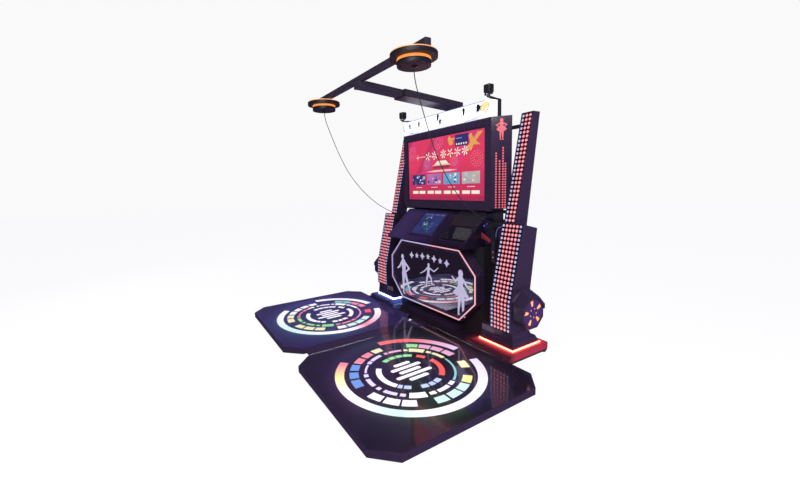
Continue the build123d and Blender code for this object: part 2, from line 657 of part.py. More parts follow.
mast_low = tower_top
sleeve_under_0 = arm_top(mast_y0) - arm_h - 8
sleeve_under_1 = arm_top(mast_y1) - arm_h - 8
mast = plate_x([(mast_y0, mast_low), (mast_y0, sleeve_under_0), (mast_y1, sleeve_under_1),
                (mast_y1, mast_low)], -60, 60)
mast -= box(-55, 55, mast_y0 + 5, mast_y1 - 5, mast_low - 1, sleeve_under_1 - 20)
keep("tower_shell", tower)

crossbar = box(-bar_half_len, bar_half_len, disc_y - bar_size / 2, disc_y + bar_size / 2,
               bar_bottom, bar_bottom + bar_size)
crossbar -= box(-bar_half_len + 3, bar_half_len - 3, disc_y - bar_size / 2 + 3,
                disc_y + bar_size / 2 - 3, bar_bottom + 3, bar_bottom + bar_size - 3)
keep("crossbar", crossbar)


def disc(r, z0, z1):
    return Pos(disc_x, disc_y, (z0 + z1) / 2) * Cylinder(r, z1 - z0)


canopy = disc(canopy_r, canopy_z, canopy_top) - disc(canopy_r - 5, canopy_z + 4, canopy_top - 4)
canopy += disc(hub_r, canopy_top - 2, bar_bottom)
spindle_r = 10.0
canopy += disc(spindle_r, disc_bottom + 12, canopy_z + 2)
keep("disc_canopies", *pair(canopy))
cup = disc(cup_r, disc_bottom, cup_top) - disc(cup_r - 4, disc_bottom + 4, cup_top + 1)
cup += disc(cup_r, cup_top - 3, cup_top) - disc(cup_r - 30, cup_top - 4, cup_top + 1)
gland_h = 6.0
cup += disc(14, disc_bottom - gland_h, disc_bottom + 4)
cup += disc(spindle_r + 8, disc_bottom + 3, disc_bottom + 12)
keep("disc_cups", *pair(cup))
reel_z0, reel_z1 = disc_bottom + 14, cup_top + 12
reel = disc(88, reel_z0, reel_z0 + 3) + disc(88, reel_z1 - 3, reel_z1) + disc(52, reel_z0, reel_z1)
reel -= disc(spindle_r + hinge_fit, reel_z0 - 1, reel_z1 + 1)
reel -= [Pos(disc_x, disc_y, reel_z0) * (Rot(0, 0, 60 * k) * (Pos(34, 0, 12) * Cylinder(9, 60)))
         for k in range(6)]
keep("tether_reel_right", reel)
keep("tether_reel_left", other_side(reel))

# Sensor heads on the posts: bracket, yoke that pans and body that tilts.
head_x, head_y, head_z = 676.0, 1746.0, 2372.0
tilt_r = 5.0
bracket = box(tower_half_w + 4, tower_half_w + 46, 1889 - 4, 1931, post_z, post_z + 8)
bracket += plate_z([(tower_half_w + 4, 1890), (tower_half_w + 46, 1890), (head_x + 16, head_y - 8),
                    (head_x - 16, head_y - 8)], post_z, post_z + 8)
bracket += rod((head_x, head_y, post_z), (0, 0, 1), 16, 8)
pivot_top = post_z + 14
yoke_base = post_z + 18
yoke_t = 6.0
bracket += rod((head_x, head_y, post_z + 6), (0, 0, 1), 6, pivot_top - post_z - 6)
keep("roof_posts", mast, *pair(post, bracket))
yoke = rod((head_x, head_y, post_z + 8.5), (0, 0, 1), 14, yoke_base - post_z - 8)
yoke -= rod((head_x, head_y, post_z), (0, 0, 1), 6 + hinge_fit, pivot_top + 0.5 - post_z)
yoke += box(head_x - 42, head_x + 42, head_y - 9, head_y + 9, yoke_base, yoke_base + yoke_t)
for side in (-1, 1):
    yoke += box(head_x + side * 40 - 2, head_x + side * 40 + 2, head_y - 9, head_y + 9, yoke_base, head_z + 9)
    yoke += rod((head_x + side * 38.5, head_y, head_z), (-side, 0, 0), tilt_r, 10)
keep("tracker_yoke_right", yoke)
keep("tracker_yoke_left", other_side(yoke))
body = Pos(head_x, head_y, head_z) * Box(70, 66, 74)
body = fillet(body.edges(), 9)
body -= Pos(head_x, head_y - 36, head_z) * Cylinder(26, 12, rotation=(90, 0, 0))
lens = Pos(head_x, head_y - 32, head_z) * Cylinder(25.6, 4, rotation=(90, 0, 0))
bore = rod((head_x - 60, head_y, head_z), (1, 0, 0), tilt_r + hinge_fit, 120)
body -= bore & box(head_x - 60, head_x - 20, head_y - 20, head_y + 20, head_z - 20, head_z + 20)
body -= bore & box(head_x + 20, head_x + 60, head_y - 20, head_y + 20, head_z - 20, head_z + 20)
keep("tracker_body_right", body, lens)
keep("tracker_body_left", other_side(body), other_side(lens))

# ---- things inside, at the back and in the side nooks ----------------------------------
keep("game_computer", box(-560, -380, 1740, 1990, deck_top + case_t, 500))
keep("power_supply", box(380, 560, 1800, 1960, deck_top + case_t, 175))
fan_x, fan_z, fan_half = 0.0, 1700.0, 60.0
fan_y = cabinet_back - sheet_t
fan_frame = box(-fan_half, fan_half, fan_y - 25, fan_y, fan_z - fan_half, fan_z + fan_half)
fan_frame -= rod((0, fan_y - 30, fan_z), (0, 1, 0), 56, 40)
spokes = box(-58, 58, fan_y - 4, fan_y, fan_z - 4, fan_z + 4) + box(-4, 4, fan_y - 4, fan_y, fan_z - 58, fan_z + 58)
fan_frame += spokes + rod((0, fan_y - 4, fan_z), (0, 1, 0), 20, 4)
fan_frame += rod((0, fan_y - 20, fan_z), (0, 1, 0), 3, 18)
keep("fan_frame", fan_frame)
rotor = rod((0, fan_y - 22, fan_z), (0, 1, 0), 20, 17)
for k in range(7):
    blade = Rot(0, 360 / 7 * k, 0) * (Pos(0, 0, 35) * (Rot(0, 0, 35) * Box(20, 2.5, 34)))
    rotor += Pos(0, fan_y - 13.5, fan_z) * blade
rotor -= rod((0, fan_y - 20.5, fan_z), (0, 1, 0), 3 + hinge_fit, 20)
keep("fan_rotor", rotor)
rear_y0 = cabinet_back + 1
rear_y1 = rear_y0 + 3
rear_door = box(-rear_door_x, rear_door_x, rear_y0, rear_y1, rear_door_z0, rear_door_z1)
for k in range(8):
    rear_door -= box(-120, 120, rear_y0 - 1, rear_y1 + 1, 200 + 16 * k, 208 + 16 * k)
rear_pin_r, rear_knuckle_r = 3.0, 6.0
rear_hinge_x, rear_hinge_y = -rear_door_x - rear_knuckle_r, cabinet_back + rear_knuckle_r + 1
rear_pins = []
for z in (260, 700):
    knuckle = rod((rear_hinge_x, rear_hinge_y, z - 15), (0, 0, 1), rear_knuckle_r, 30)
    knuckle += box(rear_hinge_x, -rear_door_x + 6, rear_y0, rear_y1, z - 15, z + 15)
    rear_door += knuckle
    rear_door -= rod((rear_hinge_x, rear_hinge_y, z - 60), (0, 0, 1), rear_pin_r + hinge_fit, 120)
    for z0 in (z - 31, z + 16):
        lug = rod((rear_hinge_x, rear_hinge_y, z0), (0, 0, 1), rear_knuckle_r, 15)
        lug += box(rear_hinge_x - rear_knuckle_r, rear_hinge_x + 5, cabinet_back, rear_hinge_y, z0, z0 + 15)
        cabinet += lug - rod((rear_hinge_x, rear_hinge_y, z0 - 1), (0, 0, 1), rear_pin_r, 17)
    rear_pins.append(rod((rear_hinge_x, rear_hinge_y, z - 31), (0, 0, 1), rear_pin_r, 62))
rear_lock_x, rear_lock_z = 240.0, 480.0
rear_door -= rod((rear_lock_x, rear_y0 - 5, rear_lock_z), (0, 1, 0), lock_r + fit_gap, 20)
rear_lock = rod((rear_lock_x, rear_y0 - 10, rear_lock_z), (0, 1, 0), lock_r, 17)
rear_lock += rod((rear_lock_x, rear_y1 + 0.5, rear_lock_z), (0, 1, 0), lock_r + 3, 3.5)
rear_lock += box(rear_lock_x - 8, rear_lock_x + 8, rear_y0 - 10, rear_y0 - 6, rear_lock_z - 30, rear_lock_z + 8)
keep("rear_door", rear_door)
keep("rear_lock", rear_lock)
keep("cabinet_shell", cabinet, *rear_pins)
inlet = box(520, 600, cabinet_back, cabinet_back + 14, 150, 200)
inlet -= box(532, 562, cabinet_back + 6, cabinet_back + 15, 163, 187)
keep("power_inlet", inlet)

# Each tether lies over a round saddle and ends in a link box below it.
link_x, link_y, link_z0, link_z1 = 757.0, 1746.0, 785.0, 1006.0
link = box(link_x - 24, link_x + 24, link_y - 20, closer_y, link_z0, link_z1)
saddle_x, saddle_y, saddle_z = 749.0, 1700.0, 1115.0
saddle = rod((saddle_x - 14, saddle_y, saddle_z), (1, 0, 0), saddle_r, 28)
saddle -= box(saddle_x - 15, saddle_x + 15, saddle_y - 50, saddle_y + 50, saddle_z - 50, saddle_z)
for x in (saddle_x - 18, saddle_x + 14):
    flange = rod((x, saddle_y, saddle_z), (1, 0, 0), saddle_r + 10, 4)
    saddle += flange - box(x - 1, x + 5, saddle_y - 60, saddle_y + 60, saddle_z - 60, saddle_z)
saddle += box(saddle_x - 18, saddle_x + 18, saddle_y - 30, closer_y, saddle_z - 8, saddle_z)
saddle -= box(saddle_x - 10, saddle_x + 10, saddle_y + saddle_r - 6, saddle_y + saddle_r + 26,
              saddle_z - 9, saddle_z + 1)
keep("link_boxes", *pair(link, saddle))


# ---- free cords ------------------------------------------------------------------------
def cord(points, diameter):
    """Tube of straight runs joined by tangent arcs; prints its arc radii."""
    pts = [Vector(*p) for p in points]
    radii = []
    for a, b, c in zip(pts, pts[1:], pts[2:]):
        turn = math.radians((b - a).get_angle(c - b))
        radii.append(0.45 * min((b - a).length, (c - b).length) / math.tan(turn / 2))
    path = FilletPolyline(*pts, radius=radii)
    tube = sweep(Plane(origin=path @ 0, z_dir=path % 0) * Circle(diameter / 2), path=path)
    section = math.pi * diameter ** 2 / 4
    print("cord length", round(path.length), "radii", [round(r) for r in radii],
          "volume share", round(tube.volume / (section * path.length), 4))
    return tube


tether_points = [(836.5, 791, 2372), (836.5, 791, 2328), (835, 807, 2257), (832, 835, 2178),
                 (829, 867, 2094), (826, 900, 2009), (822, 935, 1924), (817, 973, 1840),
                 (812, 1015, 1757), (807, 1063, 1677), (801, 1117, 1600), (795, 1176, 1526),
                 (788, 1241, 1456), (781, 1311, 1391), (774, 1386, 1331), (766, 1465, 1277),
                 (759, 1549, 1231), (752, 1630, 1193), (750, 1694.4, 1162.5), (749, 1738.8, 1137.9),
                 (749, 1738.8, 1087), (748, 1740, 1046), (748, 1740, 1006)]
lead_points = [(862, 1746, 1130), (832, 1746, 1130), (803, 1745, 1119), (783, 1746, 1096),
               (773, 1747, 1066), (770, 1748, 1036), (770, 1748, 1006)]
tether = cord(tether_points, tether_d)
lead = cord(lead_points, lead_d)
keep("tether_right", tether)
keep("tether_left", other_side(tether))
keep("link_lead_right", lead)
keep("link_lead_left", other_side(lead))

for name, shapes in nodes.items():
    export_step(Compound(children=[s for shape in shapes for s in shape.solids()]), f"parts/{name}.step")
print(len(nodes), "nodes")
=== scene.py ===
import math
import random

import bmesh
import bpy
from mathutils import Matrix, Vector


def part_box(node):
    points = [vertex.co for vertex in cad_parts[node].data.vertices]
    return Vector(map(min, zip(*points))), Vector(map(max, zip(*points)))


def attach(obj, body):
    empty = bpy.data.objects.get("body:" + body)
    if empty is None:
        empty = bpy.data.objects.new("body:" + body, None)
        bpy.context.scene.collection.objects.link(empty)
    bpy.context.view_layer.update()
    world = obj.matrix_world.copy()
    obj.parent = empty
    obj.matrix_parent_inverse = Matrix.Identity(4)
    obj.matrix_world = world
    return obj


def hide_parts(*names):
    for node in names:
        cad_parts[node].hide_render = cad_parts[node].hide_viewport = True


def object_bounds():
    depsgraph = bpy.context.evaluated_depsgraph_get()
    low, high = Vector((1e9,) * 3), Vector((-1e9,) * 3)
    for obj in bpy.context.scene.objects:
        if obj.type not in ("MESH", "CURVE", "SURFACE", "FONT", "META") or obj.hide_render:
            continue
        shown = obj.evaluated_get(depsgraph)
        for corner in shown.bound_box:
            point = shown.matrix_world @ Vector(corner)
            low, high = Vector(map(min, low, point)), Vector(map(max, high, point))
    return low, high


bl_info = {
    "name": "Dance machine",
    "version": (1, 0, 0),
    "blender": (4, 5, 0),
    "location": "View3D > Sidebar > Dance machine",
    "description": "Builds the looks of a two-player dance machine round its CAD frame",
    "category": "Object",
}

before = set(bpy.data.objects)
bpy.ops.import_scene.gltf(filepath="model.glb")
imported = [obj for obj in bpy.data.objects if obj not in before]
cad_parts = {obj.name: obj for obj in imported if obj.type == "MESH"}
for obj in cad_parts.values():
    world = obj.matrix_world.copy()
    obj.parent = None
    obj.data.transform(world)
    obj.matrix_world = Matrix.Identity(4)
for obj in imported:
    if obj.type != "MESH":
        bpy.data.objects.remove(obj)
CAD_LOW, CAD_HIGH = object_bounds()

# Metres. Y is measured from the platforms' front edge and at() moves it to the frame's origin.
BACK = CAD_HIGH.y
MACHINE = "machine"
DOOR = "front_door"
COLUMN_BEND = 0.505
COLUMN_FRONT = 1.568
COLUMN_SLOPE = 0.2285
SLIM_SETBACK = 0.024
LED_RECESS = 0.002


def at(x, y, z):
    return Vector((x, y - BACK, z))


def tone(red, green, blue):
    """Linear colour of a display colour in 0-255."""
    return tuple((c / 255 / 12.92) if c < 11 else ((c / 255 + 0.055) / 1.055) ** 2.4 for c in (red, green,
                                                                                               blue))


def node_box(name):
    """Lowest and highest corner of a CAD node with Y counted from the platforms' front."""
    low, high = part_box(name)
    shift = Vector((0, BACK, 0))
    return low + shift, high + shift


# ---- shader sums -------------------------------------------------------------------------
class Wire:
    """A value in a material that can be written in sums, each of which adds its node."""

    def __init__(self, finish, socket):
        self.finish, self.socket = finish, socket

    def out(self, name):
        return Wire(self.finish, self.socket.node.outputs[name])

    def _sum(self, operation, first, second):
        return self.finish.node("ShaderNodeMath", {"operation": operation}, {0: first, 1: second})

    def __add__(self, other):
        return self._sum("ADD", self, other)

    def __sub__(self, other):
        return self._sum("SUBTRACT", self, other)

    def __rsub__(self, other):
        return self._sum("SUBTRACT", other, self)

    def __mul__(self, other):
        return self._sum("MULTIPLY", self, other)

    def __truediv__(self, other):
        return self._sum("DIVIDE", self, other)

    def __gt__(self, other):
        return self._sum("GREATER_THAN", self, other)

    def __lt__(self, other):
        return self._sum("LESS_THAN", self, other)

    __radd__, __rmul__ = __add__, __mul__


class Finish:
    """One material: a principled shader whose plain numbers are set by name."""

    def __init__(self, name, color, roughness, **plain):
        self.material = bpy.data.materials.new(name)
        self.material.use_nodes = True
        self.tree = self.material.node_tree
        self.shader = self.tree.nodes["Principled BSDF"]
        self.set("Base Color", (*color, 1))
        self.set("Roughness", roughness)
        for key, value in plain.items():
            self.set(key.replace("_", " "), value)
        self.material.diffuse_color = (*color, 1)

    def set(self, name, value):
        self._feed(self.shader.inputs[name], value)

    def _feed(self, socket, value):
        if isinstance(value, Wire):
            self.tree.links.new(value.socket, socket)
        else:
            socket.default_value = value

    def node(self, kind, settings=None, inputs=None, output=0):
        made = self.tree.nodes.new(kind)
        for key, value in (settings or {}).items():
            if key == "stops":
                self._stops(made.color_ramp, value)
            else:
                setattr(made, key, value)
        for key, value in (inputs or {}).items():
            self._feed(made.inputs[key], value)
        return Wire(self, made.outputs[output])

    @staticmethod
    def _stops(ramp, stops):
        ramp.interpolation = stops[0]
        while len(ramp.elements) < len(stops[1]):
            ramp.elements.new(1.0)
        for element, (place, color) in zip(ramp.elements, stops[1]):
            element.position = place
            element.color = (*color, 1)

    def single(self, operation, value):
        return self.node("ShaderNodeMath", {"operation": operation}, {0: value})

    def larger(self, first, second):
        return self.node("ShaderNodeMath", {"operation": "MAXIMUM"}, {0: first, 1: second})

    def place(self):
        return self.node("ShaderNodeNewGeometry", output="Position")

    def axes(self):
        split = self.node("ShaderNodeSeparateXYZ", inputs={0: self.place()})
        return split.out("X"), split.out("Y"), split.out("Z")

    def polar(self, centre, radius):
        """Turn (0 to 1) round a vertical axis and reach from it in radii."""
        x, y, _ = self.axes()
        dx, dy = x - centre.x, y - centre.y
        turn = self.node("ShaderNodeMath", {"operation": "ARCTAN2"}, {0: dy, 1: dx}) / math.tau
        return self.single("FRACT", turn + 1.0), self.single("SQRT", dx * dx + dy * dy) / radius

    def noise(self, scale, detail=3, stretch=None, output="Fac"):
        vector = self.place()
        if stretch:
            vector = self.node("ShaderNodeVectorMath", {"operation": "MULTIPLY"}, {0: vector, 1: stretch})
        return self.node("ShaderNodeTexNoise", inputs={"Vector": vector, "Scale": scale, "Detail": detail},
                         output=output)

    def ramp(self, value, stops, mode="LINEAR"):
        return self.node("ShaderNodeValToRGB", {"stops": (mode, stops)}, {0: value}, "Color")

    def mix(self, share, first, second, blend="MIX"):
        first = first if isinstance(first, Wire) else (*first, 1)
        second = second if isinstance(second, Wire) else (*second, 1)
        return self.node("ShaderNodeMix", {"data_type": "RGBA", "blend_type": blend},
                         {0: share, 6: first, 7: second}, output=2)

    def bump(self, height, strength, distance):
        self.set("Normal", self.node("ShaderNodeBump", inputs={
            "Strength": strength, "Distance": distance, "Height": height}, output="Normal"))

    def glow(self, color, strength):
        self.set("Emission Color", color if isinstance(color, Wire) else (*color, 1))
        self.set("Emission Strength", strength)


def lacquer(name, color, second, roughness=0.13):
    """Gloss lacquer: slow colour drift, fine wipe marks and a slight orange peel."""
    made = Finish(name, color, roughness, Coat_Weight=0.35, Coat_Roughness=0.05)
    made.set("Base Color", made.mix(made.noise(1.7, 2), color, second))
    made.set("Roughness", made.noise(9, 4, (1, 1, 0.25)) * 0.14 + (roughness - 0.05))
    made.bump(made.noise(220, 2), 0.05, 0.0006)
    return made.material


def powder_coat(name, color, grain=420.0, roughness=0.42, skin=0.1):
    """Satin powder coat with a fine grain and rubbed patches."""
    made = Finish(name, color, roughness)
    lighter = tuple(min(1.0, c * 1.7 + 0.01) for c in color)
    made.set("Base Color", made.mix(made.noise(5, 5) * 0.6, color, lighter))
    made.set("Roughness", made.noise(14, 3) * 0.2 + (roughness - 0.1))
    made.bump(made.noise(grain, 2), skin, 0.0006)
    return made.material


def laminate(name, color):
    """Board laminate with a pressed cell texture."""
    made = Finish(name, color, 0.5)
    cells = made.node("ShaderNodeTexVoronoi", inputs={"Vector": made.place(), "Scale": 260.0},
                      output="Distance")
    made.set("Base Color", made.mix(made.noise(3, 4), color, tuple(c * 1.8 for c in color)))
    made.set("Roughness", made.noise(11, 4) * 0.2 + 0.4)
    made.bump(cells, 0.3, 0.0007)
    return made.material


def moulded(name, color, roughness=0.45):
    """Moulded plastic with a spark-eroded skin."""
    made = Finish(name, color, roughness)
    made.set("Base Color", made.mix(made.noise(25, 4) * 0.5, color, tuple(c * 1.5 + 0.004 for c in color)))
    made.set("Roughness", made.noise(60, 3) * 0.16 + (roughness - 0.08))
    made.bump(made.noise(700, 2), 0.2, 0.0004)
    return made.material


def rubber(name, color):
    made = Finish(name, color, 0.7)
    made.set("Base Color", made.mix(made.noise(30, 5), color, tuple(c * 2.0 + 0.01 for c in color)))
    made.bump(made.noise(500, 3), 0.4, 0.0006)
    return made.material


def brushed(name, color, stretch=(1, 60, 60), roughness=0.3):
    """Metal with fine lines along X."""
    made = Finish(name, color, roughness, Metallic=1.0)
    lines = made.noise(30, 5, stretch)
    made.set("Base Color", made.mix(lines, tuple(c * 0.75 for c in color), color))
    made.set("Roughness", lines * 0.25 + (roughness - 0.1))
    made.bump(lines, 0.08, 0.0004)
    return made.material


def lit(name, color, strength, edge=None, roughness=0.3):
    """A lit diffuser whose brightness drifts a little along it."""
    made = Finish(name, tuple(c * 0.06 for c in color), roughness)
    second = edge or tuple(c * 0.72 for c in color)
    made.glow(made.mix(made.noise(12, 3), second, color), strength)
    made.set("Roughness", made.noise(90, 2) * 0.15 + roughness)
    return made.material


def clear(name, tint, roughness=0.02, edge=None, bend=1.32):
    """Clear sheet: light goes through, with faint wipe marks."""
    made = Finish(name, tint, roughness, Transmission_Weight=1.0, IOR=bend)
    if edge:
        made.set("Base Color", made.mix(made.noise(4, 2), tint, edge))
    made.set("Roughness", made.noise(6, 4) * 0.05 + roughness)
    return made.material


def floor_art(name, centre, radius, rings, strength):
    """Lit floor art: the colour follows the angle round the centre, ring by ring."""
    made = Finish(name, (0.03, 0.03, 0.035), 0.35)
    turn, reach = made.polar(centre, radius)
    color = WHITE
    for inner, stops in rings:
        spread = made.ramp(turn, [(deg / 360, c) for deg, c in stops],
                           "LINEAR" if inner > 0.8 else "CONSTANT")
        color = made.mix(reach > inner, color, spread)
    made.glow(made.mix(made.noise(40, 3) * 0.2, color, (0.7, 0.66, 0.85), "MULTIPLY"), strength)
    return made.material


def floor_mask(name, places, radius):
    """Dark print under the glass, painted violet on its left half as a painted reflection of the room's light,
    with a painted halo of spilt light round each ring.
    """
    made = Finish(name, (0.01, 0.006, 0.016), 0.3)
    x, _, _ = made.axes()
    side = x > 0.0
    # The left half (x below 0) is painted violet: painted reflection of the room's light over the dark print.
    made.set("Base Color",
             made.mix(made.noise(1.3, 3), made.mix(side, (0.06, 0.048, 0.19), (0.018, 0.013, 0.024)),
                                    made.mix(side, (0.1, 0.08, 0.33), (0.032, 0.023, 0.044))))
    halos = []
    for word in ("left", "right"):
        turn, reach = made.polar(places[word], radius)
        fade = made.ramp(reach / 1.5,
                         [(0.0, (0.6, 0.6, 0.6)), (0.3, (0.35, 0.35, 0.35)), (0.42, (0.55, 0.55, 0.55)),
                                       (0.55, (0.5, 0.5, 0.5)), (0.67, (1.0, 1.0, 1.0)),
                                       (0.76, (0.25, 0.25, 0.25)),
                                       (0.95, (0.0, 0.0, 0.0))])
        halos.append(made.mix(1.0, made.ramp(turn, HALOS[word]), fade, "MULTIPLY"))
    made.glow(made.mix(side, halos[0], halos[1]), 0.8)
    return made.material


WHITE, CREAM, LILAC = tone(255, 252, 255), tone(238, 234, 180), tone(225, 215, 255)
PINK, RED = tone(245, 140, 150), tone(240, 95, 90)
GREEN, CYAN, BLUE = tone(150, 220, 150), tone(130, 205, 200), tone(110, 150, 215)
MINT, YELLOW = tone(205, 240, 225), tone(235, 235, 150)
ROSE, PALE_BLUE = tone(225, 170, 200), tone(190, 210, 250)
RIGHT_RINGS = [
    (0.34, [(0, PALE_BLUE), (30, RED), (137, GREEN), (215, WHITE), (300, PALE_BLUE)]),
    (0.50, [(0, WHITE), (30, CYAN), (90, CREAM), (152, ROSE), (187, LILAC), (320, WHITE)]),
    (0.67, [(0, MINT), (30, YELLOW), (58, CREAM), (82, ROSE), (134.8, GREEN), (165, CREAM), (193, PINK),
            (223, BLUE), (277, WHITE), (332, MINT)]),
    (0.84, [(0, WHITE), (90, LILAC), (148, RED), (226, PINK), (246, YELLOW), (275, WHITE), (318, MINT),
            (345, WHITE)]),
]
LEFT_RINGS = [
    (0.34, [(0, WHITE)]),
    (0.50, [(0, PINK), (30, ROSE), (90, WHITE), (200, PINK), (255, GREEN), (345, PINK)]),
    (0.67, [(0, MINT), (15, MINT), (55, RED), (82, PINK), (120, CYAN), (150, WHITE), (240, CREAM),
            (330, WHITE)]),
    (0.84, [(0, WHITE), (20, PINK), (62, WHITE), (240, WHITE), (290, MINT), (345, WHITE)]),
]
HALOS = {"right": [(0.0, (0.02, 0.03, 0.10)), (0.25, (0.05, 0.02, 0.03)), (0.45, (0.01, 0.05, 0.06)),
                   (0.62, (0.03, 0.015, 0.07)), (0.78, (0.05, 0.02, 0.06)), (0.93, (0.02, 0.07, 0.03))],
         "left": [(0.0, (0.02, 0.06, 0.08)), (0.12, (0.07, 0.02, 0.05)), (0.3, (0.02, 0.04, 0.14)),
                  (0.6, (0.02, 0.05, 0.16)), (0.85, (0.01, 0.09, 0.08))]}


# ---- piece making ------------------------------------------------------------------------
class Shape:
    """The surface of one piece, gathered from prisms and turned parts."""

    def __init__(self):
        self.mesh = bmesh.new()

    def slab(self, outline, push, material=0):
        """A flat outline given thickness by the vector push."""
        low = [self.mesh.verts.new(p) for p in outline]
        high = [self.mesh.verts.new(Vector(p) + Vector(push)) for p in outline]
        count = len(low)
        faces = [self.mesh.faces.new(low[::-1]), self.mesh.faces.new(high)]
        for i in range(count):
            j = (i + 1) % count
            faces.append(self.mesh.faces.new((low[i], low[j], high[j], high[i])))
        for face in faces:
            face.material_index = material

    def block(self, low, high, material=0):
        corners = [Vector((low[0], low[1], low[2])), Vector((high[0], low[1], low[2])),
                   Vector((high[0], high[1], low[2])), Vector((low[0], high[1], low[2]))]
        self.slab(corners, (0, 0, high[2] - low[2]), material)

    def turned(self, centre, axis, profile, segments=16, materials=0):
        """A turned part: profile is (radius, height) from base to tip along the axis."""
        axis = Vector(axis).normalized()
        side = axis.orthogonal().normalized()
        across = axis.cross(side)
        rings = []
        for radius, height in profile:
            if radius < 1e-7:
                rings.append([self.mesh.verts.new(Vector(centre) + axis * height)])
                continue
            rings.append([self.mesh.verts.new(
                Vector(centre) + axis * height
                + (side * math.cos(a) + across * math.sin(a)) * radius)
                for a in (math.tau * k / segments for k in range(segments))])
        for step, (low, high) in enumerate(zip(rings, rings[1:])):
            material = materials[step] if isinstance(materials, (list, tuple)) else materials
            for k in range(segments):
                j = (k + 1) % segments
                if len(low) == 1:
                    face = self.mesh.faces.new((low[0], high[j], high[k]))
                elif len(high) == 1:
                    face = self.mesh.faces.new((low[k], low[j], high[0]))
                else:
                    face = self.mesh.faces.new((low[k], low[j], high[j], high[k]))
                face.material_index = material
        for ring, step in ((rings[0], 0), (rings[-1], -1)):
            if len(ring) > 2:
                cap = self.mesh.faces.new(ring)
                cap.material_index = materials[step] if isinstance(materials, (list, tuple)) else materials

    def piece(self, name, materials, body=MACHINE, bevel=0.0, smooth=40.0):
        bmesh.ops.recalc_face_normals(self.mesh, faces=self.mesh.faces)
        data = bpy.data.meshes.new(name)
        self.mesh.to_mesh(data)
        self.mesh.free()
        made = bpy.data.objects.new(name, data)
        bpy.context.scene.collection.objects.link(made)
        for material in materials:
            data.materials.append(material)
        for polygon in data.polygons:
            polygon.use_smooth = True
        data.set_sharp_from_angle(angle=math.radians(smooth))
        if bevel:
            rounding = made.modifiers.new("Edges", "BEVEL")
            rounding.width, rounding.segments = bevel, 2
            rounding.limit_method, rounding.angle_limit = "ANGLE", math.radians(40)
        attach(made, body)
        return made


class Plane:
    """A drawing plane: points are across and up from its origin."""

    def __init__(self, origin, across, up):
        self.origin, self.across, self.up = Vector(origin), Vector(across).normalized(), Vector(up).normalized()
        self.out = self.across.cross(self.up).normalized()

    def point(self, u, v, lift=0.0):
        return self.origin + self.across * u + self.up * v + self.out * lift

    def outline(self, points, lift=0.0):
        return [self.point(u, v, lift) for u, v in points]


def rounded(width, height, radius, centre=(0, 0), steps=4):
    """Outline of a rectangle with round corners."""
    points = []
    for quarter, (sx, sy) in enumerate(((1, 1), (-1, 1), (-1, -1), (1, -1))):
        for k in range(steps + 1):
            a = math.pi / 2 * (quarter + k / steps)
            points.append((centre[0] + sx * (width / 2 - radius) + radius * math.cos(a),
                           centre[1] + sy * (height / 2 - radius) + radius * math.sin(a)))
    return points


def round_outline(centre, radius, steps=20, squash=1.0):
    return [(centre[0] + radius * math.cos(math.tau * k / steps),
             centre[1] + radius * squash * math.sin(math.tau * k / steps)) for k in range(steps)]


def limb(start, end, first, last, steps=6):
    """Outline of a tapered limb with round ends."""
    lean = math.atan2(end[1] - start[1], end[0] - start[0])
    points = []
    for centre, radius, turn in ((start, first, lean + math.pi / 2), (end, last, lean - math.pi / 2)):
        for k in range(steps + 1):
            a = turn + math.pi * k / steps
            points.append((centre[0] + radius * math.cos(a), centre[1] + radius * math.sin(a)))
    return points


# Dancers drawn in a height of one: joints as (across, up), then an optional skirt outline.
DANCERS = {
    "hand_on_hip": {
        "head": (0.0, 0.93, 0.052), "torso": [(0.03, 0.80), (0.05, 0.56)],
        "arms": [[(-0.04, 0.79), (-0.13, 0.67), (-0.22, 0.62)], [(0.10, 0.79), (0.26, 0.68), (0.11, 0.57)]],
        "legs": [[(0.02, 0.53), (0.02, 0.28), (0.02, 0.03)], [(0.09, 0.53), (0.19, 0.32), (0.29, 0.11)]],
        "skirt": None},
    "arms_wide": {
        "head": (0.03, 0.93, 0.062), "torso": [(0.02, 0.80), (0.0, 0.55)],
        "arms": [[(-0.05, 0.79), (-0.26, 0.62), (-0.50, 0.50)], [(0.10, 0.80), (0.36, 0.72), (0.60, 0.90)]],
        "legs": [[(-0.03, 0.52), (-0.10, 0.30), (-0.13, 0.04)], [(0.06, 0.52), (0.19, 0.40), (0.22, 0.20)]],
        "skirt": None},
    "full_skirt": {
        "head": (0.0, 0.92, 0.07), "torso": [(0.0, 0.80), (0.0, 0.62)],
        "arms": [[(-0.08, 0.79), (-0.16, 0.73), (-0.26, 0.81)], [(0.08, 0.79), (0.19, 0.67), (0.27, 0.63)]],
        "legs": [[(-0.03, 0.50), (-0.05, 0.26), (-0.07, 0.03)], [(0.06, 0.50), (0.07, 0.26), (0.07, 0.02)]],
        "skirt": [(-0.06, 0.67), (0.06, 0.67), (0.13, 0.58), (0.24, 0.47), (0.16, 0.43), (0.10, 0.46),
                  (0.03, 0.42), (-0.06, 0.45), (-0.13, 0.42), (-0.23, 0.48), (-0.13, 0.58)]},
    "hands_on_hips": {
        "head": (0.0, 0.91, 0.078), "torso": [(0.0, 0.78), (0.0, 0.62)],
        "arms": [[(-0.08, 0.77), (-0.23, 0.70), (-0.11, 0.60)], [(0.08, 0.77), (0.23, 0.70), (0.11, 0.60)]],
        "legs": [[(-0.045, 0.48), (-0.05, 0.26), (-0.055, 0.04)],
                 [(0.045, 0.48), (0.05, 0.26), (0.05, 0.04)]],
        "skirt": [(-0.08, 0.64), (0.08, 0.64), (0.18, 0.57), (0.23, 0.50), (0.16, 0.43), (0.05, 0.40),
                  (-0.05, 0.40), (-0.16, 0.43), (-0.23, 0.50), (-0.18, 0.57)]},
}


